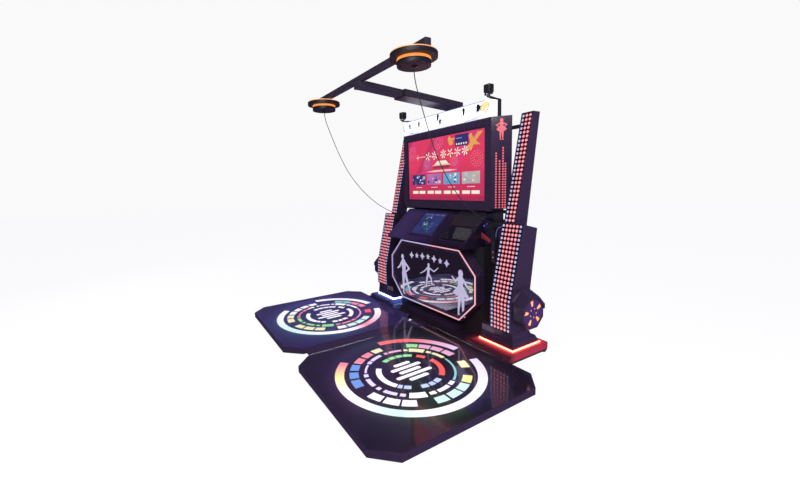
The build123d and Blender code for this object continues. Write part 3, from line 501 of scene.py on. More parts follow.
def star(centre, size, points=4, waist=0.4, turn=0.0):
    """Outline of a star."""
    outline = []
    for k in range(points * 2):
        a = math.pi * k / points + math.pi / 2 + turn
        reach = size if k % 2 == 0 else size * waist
        outline.append((centre[0] + reach * math.cos(a), centre[1] + reach * math.sin(a)))
    return outline


def dancer(shape, plane, centre, height, pose, lift, thick, material=0, flip=1, bold=1.0):
    """Adds one printed dancer to a piece, standing at centre on the plane."""
    drawing = DANCERS[pose]

    def place(points):
        return [(centre[0] + flip * u * height, centre[1] + v * height) for u, v in points]

    outlines = []
    u, v, radius = drawing["head"]
    outlines.append(place(round_outline((u, v), radius, 18, 1.15)))
    outlines.append(place(limb((u, v - 0.03), drawing["torso"][0], 0.024, 0.03)))
    outlines.append(place(limb(*drawing["torso"], 0.082 * bold, 0.065 * bold)))
    for arm in drawing["arms"]:
        outlines.append(place(limb(arm[0], arm[1], 0.03 * bold, 0.024 * bold)))
        outlines.append(place(limb(arm[1], arm[2], 0.024 * bold, 0.016 * bold)))
    for leg in drawing["legs"]:
        outlines.append(place(limb(leg[0], leg[1], 0.055 * bold, 0.036 * bold)))
        outlines.append(place(limb(leg[1], leg[2], 0.036 * bold, 0.018 * bold)))
        toe = (leg[2][0] + 0.05, leg[2][1] - 0.012)
        outlines.append(place(limb(leg[2], toe, 0.018 * bold, 0.014 * bold)))
    if drawing["skirt"]:
        outlines.append(place(drawing["skirt"]))
    for step, outline in enumerate(outlines):
        extra = 0.00002 * step
        shape.slab(plane.outline(outline, lift), plane.out * (thick + extra), material)


def screw(shape, centre, axis, radius, material=0, recess=1):
    """Button-head screw with a hexagonal recess."""
    shape.turned(centre, axis, [(radius, 0), (radius, radius * 0.25), (radius * 0.75, radius * 0.55),
                                (radius * 0.42, radius * 0.62), (radius * 0.4, radius * 0.2),
                                (0, radius * 0.2)],
                 12, [material, material, material, recess, recess])


# ---- settings ----------------------------------------------------------------------------
def color_setting(name, text, value):
    return bpy.props.FloatVectorProperty(name=name, description=text, subtype="COLOR", size=3,
                                         default=value, min=0, max=1)


def size_setting(name, text, value):
    return bpy.props.FloatProperty(name=name, description=text, default=value, min=0, unit="LENGTH")


def glow_setting(name, text, value):
    return bpy.props.FloatProperty(name=name, description=text, default=value, min=0)


class DanceBodySettings(bpy.types.PropertyGroup):
    lacquer_color: color_setting("Lacquer", "Gloss colour of the housings", (0.03, 0.018, 0.044))
    lacquer_second: color_setting("Lacquer drift", "Second colour that the lacquer drifts to",
                                  (0.05, 0.03, 0.08))
    desk_color: color_setting("Desk", "Colour of the lit side of the touch desk", (0.075, 0.045, 0.17))
    boom_color: color_setting("Boom", "Colour of the overhead boom", (0.026, 0.019, 0.036))
    edge_round: size_setting("Edge rounding", "Width of the rounded edges on housings", 0.0018)
    screw_radius: size_setting("Screw radius", "Radius of the visible screw heads", 0.006)


class DanceLightSettings(bpy.types.PropertyGroup):
    dome_radius: size_setting("Dome radius", "Radius of a column lamp dome", 0.0135)
    dome_color: color_setting("Dome", "Colour of the lit domes", (0.93, 0.26, 0.33))
    edge_dome_color: color_setting("Edge dome", "Colour of the lamps along the columns' edges",
                                   (0.72, 0.66, 0.95))
    disc_color: color_setting("Disc", "Colour of the lower disc rings", (0.11, 0.026, 0.003))
    foot_right: color_setting("Right foot", "Colour of the right foot strip", (1.0, 0.07, 0.035))
    foot_left: color_setting("Left foot", "Colour of the left foot strip", (0.2, 0.32, 0.8))
    art_glow: glow_setting("Floor art", "Strength of the lit floor art", 1.4)
    screen_glow: glow_setting("Screens", "Strength of the screens", 1.0)


class DanceStageSettings(bpy.types.PropertyGroup):
    floor_color: color_setting("Floor", "Colour of the studio floor", (0.955, 0.955, 0.96))
    lens: bpy.props.FloatProperty(name="Lens", description="Focal length of the camera", default=16.31, min=1,
                                  unit="CAMERA")
    key_power: bpy.props.FloatProperty(name="Key", description="Power of the key light", default=170, min=0,
                                       unit="POWER")


FINISHES = {}


def finish(name):
    return FINISHES[name]


# ---- operators ---------------------------------------------------------------------------
class DANCE_OT_finishes(bpy.types.Operator):
    """Make the materials and put them on the CAD nodes"""

    bl_idname = "dance.finishes"
    bl_label = "Finishes"

    def execute(self, context):
        body = context.scene.dance_body
        lights = context.scene.dance_lights
        radius = 0.599
        places = {}
        for side, rings in (("right", RIGHT_RINGS), ("left", LEFT_RINGS)):
            low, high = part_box(f"ring_windows_{side}")
            places[side] = (low + high) / 2
            FINISHES[f"art_{side}"] = floor_art(f"floor_art_{side}", places[side], radius, rings,
                                                lights.art_glow)
        FINISHES.update({
            "lacquer": lacquer("purple_black_lacquer", tuple(body.lacquer_color), tuple(body.lacquer_second)),
            "deck": self.deck_coat(),
            "desk": self.desk_coat(tuple(body.desk_color)),
            "boom": powder_coat("boom_coat", tuple(body.boom_color), 300, 0.34),
            "steel": powder_coat("black_coat", (0.016, 0.015, 0.02)),
            "board": laminate("cabinet_laminate", (0.014, 0.012, 0.018)),
            "plastic": moulded("black_moulding", (0.015, 0.015, 0.018)),
            "bezel": moulded("screen_bezel", (0.03, 0.018, 0.05), 0.3),
            "mask": floor_mask("floor_mask", places, radius),
            "disc": powder_coat("disc_coat", (0.008, 0.006, 0.012), 300, 0.5),
            "rubber": rubber("foot_rubber", (0.012, 0.012, 0.013)),
            "alloy": brushed("frame_alloy", (0.32, 0.32, 0.34)),
            "bright": brushed("polished_steel", (0.72, 0.72, 0.75), (8, 8, 8), 0.16),
            "screw": brushed("dark_screw", (0.1, 0.1, 0.11), (40, 40, 40), 0.35),
            "recess": moulded("screw_recess", (0.004, 0.004, 0.004), 0.6),
            "floor_glass": clear("floor_glass", (0.97, 0.95, 1.0), 0.015),
            "acrylic": self.header_sheet(),
            "acrylic_edge": lit("acrylic_edge", tone(150, 155, 225), 1.0, tone(180, 185, 240)),
            "print_warm": lit("warm_print", tone(255, 226, 150), 1.0, tone(250, 236, 205)),
            "led_board": lacquer("lamp_board", (0.005, 0.004, 0.006), (0.012, 0.006, 0.01), 0.2),
            "dome": lit("dome_body", tuple(lights.dome_color), 1.0, (0.86, 0.18, 0.25), 0.15),
            "dome_hot": lit("dome_centre", tone(255, 200, 205), 1.0, tone(255, 165, 175), 0.15),
            "edge_dome": lit("edge_dome", tuple(lights.edge_dome_color), 0.95, (0.45, 0.36, 0.8), 0.15),
            "link": lit("dome_link", (0.4, 0.03, 0.06), 0.8, (0.2, 0.01, 0.03)),
            "dash": lit("wing_dash", tone(250, 125, 140), 1.0, tone(225, 85, 100)),
            "print_white": lit("white_print", tone(212, 205, 235), 0.85, tone(185, 178, 220)),
            "print_dark": moulded("dark_print", (0.008, 0.008, 0.04), 0.5),
            "lamp_violet": lacquer("lamp_violet", (0.05, 0.02, 0.14), (0.11, 0.03, 0.2), 0.3),
            "lamp_window": lit("lamp_window", tone(255, 222, 165), 1.0, tone(255, 190, 120)),
            "lamp_rim": lit("lamp_window_rim", tone(235, 70, 50), 1.0, tone(200, 40, 50)),
            "lens": Finish("sensor_lens", (0.01, 0.01, 0.02), 0.05, Coat_Weight=1.0).material,
            "grille": self.grille(),
            "mirror": self.mirror(),
            "neon": self.neon(),
            "strips": self.strips(lights),
            "tether": self.cord_jacket("tether_jacket", (0.012, 0.012, 0.018), (0.05, 0.05, 0.07)),
            "lead": self.cord_jacket("lead_jacket", (0.05, 0.09, 0.25), (0.16, 0.26, 0.6)),
        })
        worn_by = {
            "lacquer": ["platform_rims", "bridge_plate", "foot_covers", "pillars_lower", "pillars_upper",
                        "lamp_housings", "door_casing", "toe_kick", "side_panels", "front_door_frame"],
            "disc": ["disc_canopies", "disc_cups"],
            "deck": ["base_deck"], "desk": ["console_desk"],
            "boom": ["boom_sleeve", "boom_arm", "crossbar"],
            "steel": ["tower_shell", "ladder_struts", "rear_door", "roof_posts", "base_frame",
                      "tracker_yoke_left", "tracker_yoke_right"],
            "board": ["cabinet_shell"],
            "plastic": ["light_boards", "step_sensors", "tether_reel_left", "tether_reel_right", "link_boxes",
                        "fan_frame", "fan_rotor", "power_inlet", "game_computer", "power_supply",
                        "tracker_body_left", "tracker_body_right"],
            "bezel": ["tv_housing", "tv_panel", "touch_monitor"],
            "mask": ["ring_masks"], "rubber": ["levelling_feet"],
            "alloy": ["platform_frame_left", "platform_frame_right"],
            "bright": ["front_lock", "rear_lock"],
            "floor_glass": ["floor_glass"], "acrylic": ["header_screen"],
            "led_board": ["led_panels"], "lamp_violet": ["lamp_faces"],
            "grille": ["speaker_unit"], "mirror": ["front_door_panel"], "neon": ["front_door_neon"],
            "strips": ["light_strips"], "art_left": ["ring_windows_left"],
            "art_right": ["ring_windows_right"],
        }
        for name, nodes in worn_by.items():
            for node in nodes:
                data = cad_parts[node].data
                data.materials.clear()
                data.materials.append(finish(name))
        for node in ("pillars_lower", "pillars_upper", "foot_covers", "lamp_housings", "door_casing",
                     "tv_housing", "console_desk", "boom_sleeve", "boom_arm", "crossbar", "base_deck",
                     "tower_shell", "platform_rims", "side_panels", "disc_canopies", "disc_cups",
                     "front_door_frame", "tracker_body_left", "tracker_body_right"):
            self.soften(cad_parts[node], body.edge_round)
        return {"FINISHED"}

    @staticmethod
    def soften(node, width):
        """Joins the imported mesh's split corners and rounds its sharp edges."""
        weld = node.modifiers.new("Weld", "WELD")
        weld.merge_threshold = 0.00001
        rounding = node.modifiers.new("Edges", "BEVEL")
        rounding.width, rounding.segments = width, 2
        rounding.limit_method, rounding.angle_limit = "ANGLE", math.radians(35)
        rounding.harden_normals = True

    @staticmethod
    def deck_coat():
        """Deck lacquer with the light of the foot strips spilt round each foot."""
        made = Finish("deck_lacquer", (0.02, 0.012, 0.022), 0.2)
        made.set("Base Color", made.mix(made.noise(2, 3), (0.018, 0.012, 0.022), (0.035, 0.02, 0.04)))
        made.set("Roughness", made.noise(9, 4) * 0.14 + 0.15)
        x, y, _ = made.axes()
        tier_low, tier_high = node_box("foot_covers")
        inner = 0.733
        out_x = made.larger(made.larger(inner - made.single("ABSOLUTE", x),
                                        made.single("ABSOLUTE", x) - tier_high.x), 0.0)
        out_y = made.larger(made.larger((tier_low.y - BACK) - y, y - (tier_high.y - BACK)), 0.0)
        away = made.single("SQRT", out_x * out_x + out_y * out_y)
        fade = made.ramp(away / 0.16,
                         [(0.0, (0.85, 0.85, 0.85)), (0.3, (0.4, 0.4, 0.4)), (0.6, (0.06, 0.06, 0.06)),
                                       (1.0, (0.0, 0.0, 0.0))])
        side = made.mix(x > 0.0, (0.10, 0.13, 0.62), tone(240, 55, 75))
        made.glow(made.mix(1.0, side, fade, "MULTIPLY"), 1.0)
        return made.material

    @staticmethod
    def desk_coat(lit_color):
        """Desk lacquer that is lit violet on its left and falls dark round the recess."""
        made = Finish("desk_lacquer", lit_color, 0.16, Coat_Weight=0.3)
        x, _, _ = made.axes()
        made.set("Base Color", made.mix(made.noise(2, 3) * 0.5, made.ramp(x * 0.6 + 0.5, [
            (0.0, (0.03, 0.02, 0.05)), (0.2, lit_color), (0.55, (0.028, 0.016, 0.07)),
            (0.64, (0.01, 0.007, 0.014)),
            (1.0, (0.012, 0.009, 0.02))]), (0.02, 0.012, 0.045)))
        made.set("Roughness", made.noise(9, 4) * 0.14 + 0.12)
        return made.material

    @staticmethod
    def header_sheet():
        """Edge-lit acrylic that holds its light like a pale haze, warmer at the right end."""
        made = Finish("header_acrylic", (0.5, 0.52, 0.6), 0.15, Transmission_Weight=0.5, IOR=1.45)
        x, _, _ = made.axes()
        haze = made.ramp(x * 0.7 + 0.5, [(0.0, tone(226, 228, 248)), (0.2, tone(244, 244, 252)),
                                         (0.88, tone(248, 248, 250)), (0.97, tone(255, 240, 200))])
        made.glow(made.mix(made.noise(3, 3) * 0.25, haze, tone(226, 228, 246)), 0.96)
        return made.material

    @staticmethod
    def grille():
        made = Finish("speaker_cloth", (0.12, 0.11, 0.13), 0.8)
        cells = made.node("ShaderNodeTexVoronoi", inputs={"Vector": made.place(), "Scale": 190.0},
                          output="Distance")
        made.set("Base Color", made.ramp(cells, [(0.0, (0.45, 0.43, 0.48)), (0.28, (0.12, 0.11, 0.13)),
                                                 (0.6, (0.01, 0.01, 0.012))]))
        made.bump(cells, 0.8, 0.002)
        return made.material

    @staticmethod
    def mirror():
        """Smoked mirror, silvered behind dark glass."""
        made = Finish("smoked_mirror", (0.6, 0.58, 0.62), 0.02, Metallic=1.0)
        made.set("Base Color", made.mix(made.noise(2.5, 3), (0.62, 0.60, 0.66), (0.72, 0.70, 0.76)))
        made.set("Roughness", made.noise(7, 4) * 0.015)
        return made.material

    @staticmethod
    def neon():
        """Lit tube that runs from lilac on the left to pink on the right."""
        made = Finish("neon_tube", (0.05, 0.04, 0.05), 0.2)
        x, _, z = made.axes()
        tint = made.ramp(x * 0.7 + 0.5 + (z - 0.54) * -0.12, [
            (0.0, tone(165, 155, 220)), (0.42, tone(190, 180, 235)), (0.52, tone(245, 160, 180)),
            (0.8, tone(252, 165, 178)), (1.0, tone(255, 178, 188))])
        made.glow(made.mix(made.noise(30, 2) * 0.3, tint, (1.0, 0.8, 0.85)), 1.0)
        return made.material

    @staticmethod
    def strips(lights):
        """Foot strips in two colours below, and amber rings on the overhead discs."""
        made = Finish("light_strip", (0.05, 0.04, 0.03), 0.3)
        x, _, z = made.axes()
        foot = made.mix(x > 0.0, tuple(3 * c for c in lights.foot_left),
                        tuple(3 * c for c in lights.foot_right))
        disc = made.mix(z > 2.44, tuple(lights.disc_color), (0.14, 0.055, 0.018))
        disc = made.mix(made.noise(90, 2) * 0.4, disc, (0.16, 0.09, 0.03))
        made.glow(made.mix(z > 1.0, foot, disc), 9.0)
        return made.material

    @staticmethod
    def cord_jacket(name, color, second):
        made = Finish(name, color, 0.4)
        bands = made.node("ShaderNodeTexWave", {"bands_direction": "Z"},
                          {"Vector": made.place(), "Scale": 70.0, "Distortion": 1.5})
        made.set("Base Color", made.mix(bands, color, second))
        made.bump(bands, 0.3, 0.0006)
        return made.material


def face_y(z):
    """Front face of the wide columns at height z."""
    return COLUMN_FRONT + COLUMN_SLOPE * max(0.0, z - COLUMN_BEND)


class DANCE_OT_column_lamps(bpy.types.Operator):
    """Fill the columns' fronts with lamp domes"""

    bl_idname = "dance.column_lamps"
    bl_label = "Column lamps"
    column_pitch = 0.036
    first_column = 0.886

    def execute(self, context):
        radius = context.scene.dance_lights.dome_radius
        for side in (-1, 1):
            word = "right" if side > 0 else "left"
            for part, columns, rows, low, high, setback in (
                    ("lower", 6, 25, 0.247, 1.168, 0.0), ("upper", 3, 26, 1.176, 2.128, SLIM_SETBACK)):
                shape = Shape()
                pitch = (high - low) / rows
                for row in range(rows):
                    z = low + pitch * (row + 0.5)
                    lean = COLUMN_SLOPE if z > COLUMN_BEND else 0.0
                    out = Vector((0, -1, lean)).normalized()
                    rise = Vector((0, lean, 1)).normalized()
                    for column in range(columns):
                        x = self.first_column + self.column_pitch * column
                        base = at(side * x, face_y(z) + setback + LED_RECESS, z)
                        edge = column == 0 or column == 5
                        self.lamp(shape, base, out, rise, radius, edge, row < rows - 1, pitch)
                shape.piece(f"column_lamps_{part}_{word}",
                            [finish("dome"), finish("dome_hot"), finish("edge_dome"), finish("link")])
        return {"FINISHED"}

    @staticmethod
    def lamp(shape, base, out, rise, radius, edge, linked, pitch):
        if edge:
            half = radius * 0.62
            plane = Plane(base, (1, 0, 0), rise)
            corners = rounded(half * 2, half * 2.5, half * 0.4, steps=2)
            shape.slab(plane.outline(corners), plane.out * 0.004, 2)
        else:
            shape.turned(base, out,
                         [(radius, 0), (radius * 0.96, 0.002), (radius * 0.62, 0.0048), (0, 0.006)],
                         12, [0, 0, 1])
        if linked and not edge:
            middle = base + rise * pitch / 2
            plane = Plane(middle, (1, 0, 0), rise)
            shape.slab(plane.outline(rounded(radius * 0.36, pitch - radius * 1.7, 0.002, steps=2)),
                       plane.out * 0.0012, 3)


class DANCE_OT_wing_lamps(bpy.types.Operator):
    """Draw the pink dancer and the level columns on the splayed wings"""

    bl_idname = "dance.wing_lamps"
    bl_label = "Wing lamps"
    columns = ((0.25, 1.823), (0.42, 1.768), (0.58, 1.886), (0.70, 1.741))
    dash_pitch = 0.0235

    def execute(self, context):
        inner, outer = Vector((0.692, 1.763)), Vector((0.826, 1.886))
        bottom = 1.30
        for side in (-1, 1):
            word = "right" if side > 0 else "left"
            a, b = (at(side * p.x, p.y, 0) for p in (inner, outer))
            width = (b - a).length
            start, along = (a, b - a) if side > 0 else (b, a - b)
            plane = Plane(start, along, (0, 0, 1))
            shape = Shape()
            for share, top in self.columns:
                u = width * (share if side > 0 else 1 - share)
                for k in range(int((top - bottom) / self.dash_pitch)):
                    v = bottom + self.dash_pitch * k
                    shape.slab(plane.outline(rounded(0.0145, 0.016, 0.004, (u, v), 2), 0.0003),
                               plane.out * 0.002)
            dancer(shape, plane, (width * 0.5, 1.91), 0.195, "hands_on_hips", 0.0003, 0.0022, 0, side)
            shape.piece(f"wing_lamps_{word}", [finish("dash")])
        return {"FINISHED"}


class DANCE_OT_side_lamps(bpy.types.Operator):
    """Glowing windows, hub and rear knob of the round side lamps"""

    bl_idname = "dance.side_lamps"
    bl_label = "Side lamps"

    def execute(self, context):
        low, high = node_box("lamp_faces")
        y, z = (low.y + high.y) / 2, (low.z + high.z) / 2
        radius = (high.z - low.z) / 2
        face = high.x
        for side in (-1, 1):
            word = "right" if side > 0 else "left"
            shape = Shape()
            plane = Plane(at(side * face, y, z), (0, side, 0), (0, 0, 1))
            for k in range(5):
                a = math.radians(100 + 72 * k)
                wedge = [(0.44, -0.062), (0.47, -0.085), (0.86, -0.16), (0.89, -0.12), (0.89, 0.12),
                         (0.86, 0.16), (0.47, 0.085), (0.44, 0.062)]
                for grow, lift, thick, material in ((1.0, -0.007, 0.0045, 3), (0.8, -0.0024, 0.0009, 0)):
                    turned = [((0.665 + (u - 0.665) * grow) * radius, v * grow * radius) for u, v in wedge]
                    turned = [(side * (u * math.cos(a) - v * math.sin(a)), u * math.sin(a) + v * math.cos(a))
                              for u, v in turned]
                    shape.slab(plane.outline(turned, lift), plane.out * thick, material)
                a += math.radians(36)
                dash = [(0.27, -0.035), (0.34, -0.035), (0.34, 0.035), (0.27, 0.035)]
                turned = [(side * radius * (u * math.cos(a) - v * math.sin(a)),
                           radius * (u * math.sin(a) + v * math.cos(a))) for u, v in dash]
                shape.slab(plane.outline(turned, 0.0002), plane.out * 0.0012, 0)
            hub = at(side * face, y, z)
            shape.turned(hub, (side, 0, 0), [(0.027, 0), (0.027, 0.004), (0.021, 0.007), (0.012, 0.0075),
                                             (0.01, 0.005), (0, 0.005)], 24, 1)
            for k in range(40):
                a = math.tau * k / 40
                rim = at(side * face, y + radius * 0.955 * math.cos(a), z + radius * 0.955 * math.sin(a))
                shape.turned(rim, (side, 0, 0), [(0.0032, 0), (0.0026, 0.0012), (0, 0.0016)], 8, 2)
            shape.piece(f"side_lamp_glow_{word}",
                        [finish("lamp_window"), finish("lamp_violet"), finish("screw"), finish("lamp_rim")])
            knob = Shape()
            knob.turned(at(side * 1.146, 1.853, 0.392), (0, 1, 0),
                        [(0.009, 0), (0.009, 0.016), (0.014, 0.018), (0.0165, 0.022), (0.0165, 0.036),
                         (0.013, 0.04), (0, 0.041)], 20, 0)
            for k in range(12):
                a = math.tau * k / 12
                ridge = at(side * 1.146 + 0.0165 * math.cos(a), 1.875, 0.392 + 0.0165 * math.sin(a))
                knob.turned(ridge, (0, 1, 0), [(0.0018, 0), (0.0018, 0.014), (0, 0.015)], 6, 0)
            knob.piece(f"side_lamp_knob_{word}", [finish("plastic")])
        return {"FINISHED"}


class DANCE_OT_door_print(bpy.types.Operator):
    """Printed dancers and dots on the mirror door, with its trim"""

    bl_idname = "dance.door_print"
    bl_label = "Door print"

    def execute(self, context):
        low, high = node_box("front_door_panel")
        front = low.y
        middle = (low.z + high.z) / 2
        plane = Plane(at(0, front, middle), (1, 0, 0), (0, 0, 1))
        shape = Shape()
        lift, thick = 0.0002, 0.0006
        dancer(shape, plane, (-0.485, -0.32), 0.50, "hand_on_hip", lift, thick)
        dancer(shape, plane, (0.0, -0.13), 0.275, "arms_wide", lift, thick)
        dancer(shape, plane, (0.50, -0.305), 0.465, "full_skirt", lift, thick)
        for k in range(7):
            u, v = -0.30 + 0.1 * k, 0.214 - 0.008 * abs(k - 3)
            shape.slab(plane.outline(star((u, v), 0.042 if k % 2 == 0 else 0.034, 4 + k % 2, 0.5), lift),
                       plane.out * thick)
        shape.piece("door_print", [finish("print_white")], DOOR)
        holder = Shape()
        for u, v in ((0.0, 0.345), (0.0, -0.345), (0.687, 0.0), (-0.687, 0.0), (0.59, 0.25), (-0.59, 0.25),
                     (0.59, -0.25), (-0.59, -0.25), (0.33, 0.345), (-0.33, 0.345), (0.33, -0.345),
                     (-0.33, -0.345)):
            holder.turned(plane.point(u * 1.0, v, 0.0035), (0, -1, 0),
                          [(0.008, 0), (0.008, 0.004), (0.0055, 0.006), (0, 0.0065)], 14, 0)
        holder.piece("door_neon_clips", [finish("bright")], DOOR)
        return {"FINISHED"}


class DANCE_OT_big_screen(bpy.types.Operator):
    """The picture on the large screen and the bezel's small parts"""

    bl_idname = "dance.big_screen"
    bl_label = "Big screen"
    width, height = 1.2096, 0.6804

    def execute(self, context):
        glow = context.scene.dance_lights.screen_glow
        low, _ = node_box("tv_panel")
        front = low.y
        bottom = 1.3586
        plane = Plane(at(-self.width / 2, front, bottom), (1, 0, 0), (0, 0, 1))
        back = Shape()
        back.slab(plane.outline([(0, 0), (self.width, 0), (self.width, self.height), (0, self.height)],
                                0.0002),
                  plane.out * 0.001)
        back.piece("screen_picture", [self.picture(plane, glow)])
        tiles = Shape()
        step = 0.0014
        w, h = self.width, self.height

        def tile(outline, material, extra=0.0):
            tiles.slab(plane.outline([(u * w, v * h) for u, v in outline], step + extra), plane.out * 0.0003,
                       material)

        tiles.slab(plane.outline(round_outline((0.29 * w, 0.57 * h), 0.075, 28), step), plane.out * 0.0001, 9)
        for k, (u, v) in enumerate(((0.06, 0.80), (0.45, 0.93), (0.92, 0.60), (0.66, 0.60), (0.29, 0.60))):
            self.burst(tiles, plane, (u * w, v * h), 0.075 if k < 3 else 0.05, step + 0.0002, 3)
        tile([(0.60, 0.84), (0.65, 0.85), (0.64, 0.90), (0.68, 0.94), (0.62, 0.945), (0.60, 0.99),
              (0.58, 0.93)], 4)
        tile([(0.80, 0.76), (0.86, 0.72), (0.885, 0.80), (0.96, 0.79), (0.91, 0.85), (0.985, 0.97),
              (0.93, 0.97),
              (0.885, 0.89), (0.86, 0.97), (0.83, 0.94), (0.85, 0.84)], 4)
        tile([(0.67, 0.81), (0.83, 0.81), (0.83, 0.98), (0.67, 0.98)], 5, 0.0004)
        tile([(0.0, 0.0), (1.0, 0.0), (1.0, 0.075), (0.0, 0.075)], 10, -0.0003)
        for k in range(5):
            tile([(0.685 + 0.028 * k, 0.83), (0.70 + 0.028 * k, 0.83), (0.70 + 0.028 * k, 0.855),
                  (0.685 + 0.028 * k, 0.855)], 1, 0.0008)
        tile([(0.685, 0.92), (0.755, 0.92), (0.755, 0.932), (0.685, 0.932)], 11, 0.0008)
        tiles.slab(plane.outline(star((0.15 * w, 0.715 * h), 0.036, 4, 0.3), step), plane.out * 0.0004, 3)
        tile([(0.18, 0.712), (0.27, 0.712), (0.27, 0.724), (0.18, 0.724)], 3)
        for k in range(6):
            u = (0.31, 0.40, 0.52, 0.61, 0.70, 0.79)[k]
            self.flower(tiles, plane, (u * w, (0.715 + 0.004 * k) * h), 0.048, 5 + k % 3, 0.35 * k, step)
        tile([(0.40, 0.575), (0.585, 0.575), (0.555, 0.625), (0.44, 0.625)], 1)
        tile([(0.365, 0.552), (0.62, 0.552), (0.585, 0.575), (0.40, 0.575)], 3)
        tile([(0.385, 0.505), (0.60, 0.505), (0.60, 0.550), (0.385, 0.550)], 6)
        tile([(0.27, 0.462), (0.40, 0.482), (0.60, 0.482), (0.70, 0.468), (0.60, 0.452), (0.38, 0.452)], 3,
             0.0002)
        for k in range(4):
            left = 0.058 + 0.2315 * k
            self.thumbnail(tiles, plane, (left * w, 0.25 * h), (0.203 * w, 0.175 * h), k, step)
            tile([(left + 0.06, 0.2), (left + 0.15, 0.2), (left + 0.15, 0.212), (left + 0.06, 0.212)], 3)
            for half in range(2):
                middle = ((left + 0.048 + 0.107 * half) * w, 0.125 * h)
                tiles.slab(plane.outline(rounded(0.09 * w, 0.05 * h, 0.006, middle, 3), step),
                           plane.out * 0.0004, 1)
        tiles.piece("screen_tiles", [
            lit("screen_red", tone(222, 62, 98), glow), lit("screen_pale", tone(255, 246, 222), glow),
            lit("screen_teal", tone(120, 185, 215), glow, tone(90, 130, 185)),
            lit("screen_cream", tone(246, 205, 200), glow), lit("screen_gold", tone(240, 170, 95), glow),
            lit("screen_blue", tone(55, 55, 120), glow), lit("screen_maroon", tone(160, 60, 75), glow),
            lit("screen_grey", tone(205, 202, 198), glow, tone(130, 125, 140)),
            lit("screen_plum", tone(205, 130, 185), glow, tone(120, 80, 150)),
            lit("screen_magenta", tone(205, 80, 140), glow), lit("screen_wine", tone(190, 48, 90), glow),
            lit("screen_mist", tone(150, 155, 205), glow)])
        self.bezel_parts()
        return {"FINISHED"}

    @staticmethod
    def picture(plane, glow):
        """Red and magenta picture with slanting bands and drifting sparks."""
        made = Finish("screen_ground", (0.02, 0.01, 0.015), 0.12)
        x, _, z = made.axes()
        u, v = x - plane.origin.x, z - plane.origin.z
        bands = made.single("FRACT", (u - v * 0.8) * 2.2 + 4.0)
        ground = made.ramp(v * 1.4,
                           [(0.0, tone(188, 50, 92)), (0.3, tone(205, 50, 95)), (0.55, tone(226, 62, 96)),
                                     (1.0, tone(222, 60, 100))])
        upper = v > 0.3
        ground = made.mix((bands > 0.78) * upper * (u < 0.5) * 0.7, ground, tone(180, 48, 95))
        ground = made.mix((bands < 0.3) * upper * 0.5, ground, tone(222, 64, 135))
        ground = made.mix(made.noise(60, 2) * 0.25, ground, tone(190, 45, 85))
        made.glow(ground, glow)
        return made.material

    @staticmethod
    def flower(tiles, plane, centre, size, petals, turn, lift):
        """A pale blossom that stands in the headline's row."""
        for k in range(petals):
            a = math.tau * k / petals + turn
            start = (centre[0] + size * 0.2 * math.cos(a), centre[1] + size * 0.2 * math.sin(a))
            end = (centre[0] + size * 0.85 * math.cos(a), centre[1] + size * 0.85 * math.sin(a))
            tiles.slab(plane.outline(limb(start, end, 0.003, 0.0075), lift + 0.00002 * k),
                       plane.out * 0.0004, 1)

    @staticmethod
    def burst(tiles, plane, centre, size, lift, material):
        """A ring of short rays, like a small firework."""
        for ring, count in ((0.35, 8), (0.65, 12), (0.95, 16)):
            for k in range(count):
                a = math.tau * (k + ring) / count
                inner, outer = size * ring, size * (ring + 0.13)
                start = (centre[0] + inner * math.cos(a), centre[1] + inner * math.sin(a))
                end = (centre[0] + outer * math.cos(a), centre[1] + outer * math.sin(a))
                if min(start[1], end[1]) < 0.0 or max(start[1], end[1]) > 0.674 or min(start[0],
                                                                                       end[0]) < 0.004:
                    continue
                tiles.slab(plane.outline(limb(start, end, 0.0016, 0.0012, 3), lift), plane.out * 0.0002,
                           material)

    @staticmethod
    def thumbnail(tiles, plane, corner, size, kind, lift):
        """One small picture: a ground and a few overlapping patches."""
        ground, patches = ((5, (7, 11, 1)), (8, (5, 3, 8)), (2, (1, 5, 2)), (7, (1, 7, 4)))[kind]
        tiles.slab(plane.outline(rounded(size[0], size[1], 0.004,
                                         (corner[0] + size[0] / 2, corner[1] + size[1] / 2), 2), lift),
                   plane.out * 0.0003, ground)
        rand = random.Random(11 + kind)
        for k in range(14):
            radius = rand.uniform(0.006, 0.022)
            u = corner[0] + rand.uniform(radius, size[0] - radius)
            v = corner[1] + rand.uniform(radius, size[1] - radius)
            tiles.slab(plane.outline(round_outline((u, v), radius, 9, rand.uniform(0.5, 0.95)),
                                     lift + 0.0003 + 0.00002 * k),
                       plane.out * 0.0001, patches[k % 3])

    @staticmethod
    def bezel_parts():
        low, high = node_box("tv_housing")
        shape = Shape()
        for u in (-1, 1):
            for z in (low.z + 0.02, (low.z + high.z) / 2, high.z - 0.02):
                screw(shape, at(u * (high.x - 0.018), low.y, z), (0, -1, 0), 0.005)
        shape.turned(at(0.0, low.y, low.z + 0.045), (0, -1, 0), [(0.006, 0), (0.005, 0.0015), (0, 0.002)],
                     14, 1)
        shape.piece("bezel_parts", [finish("screw"), finish("lens")])


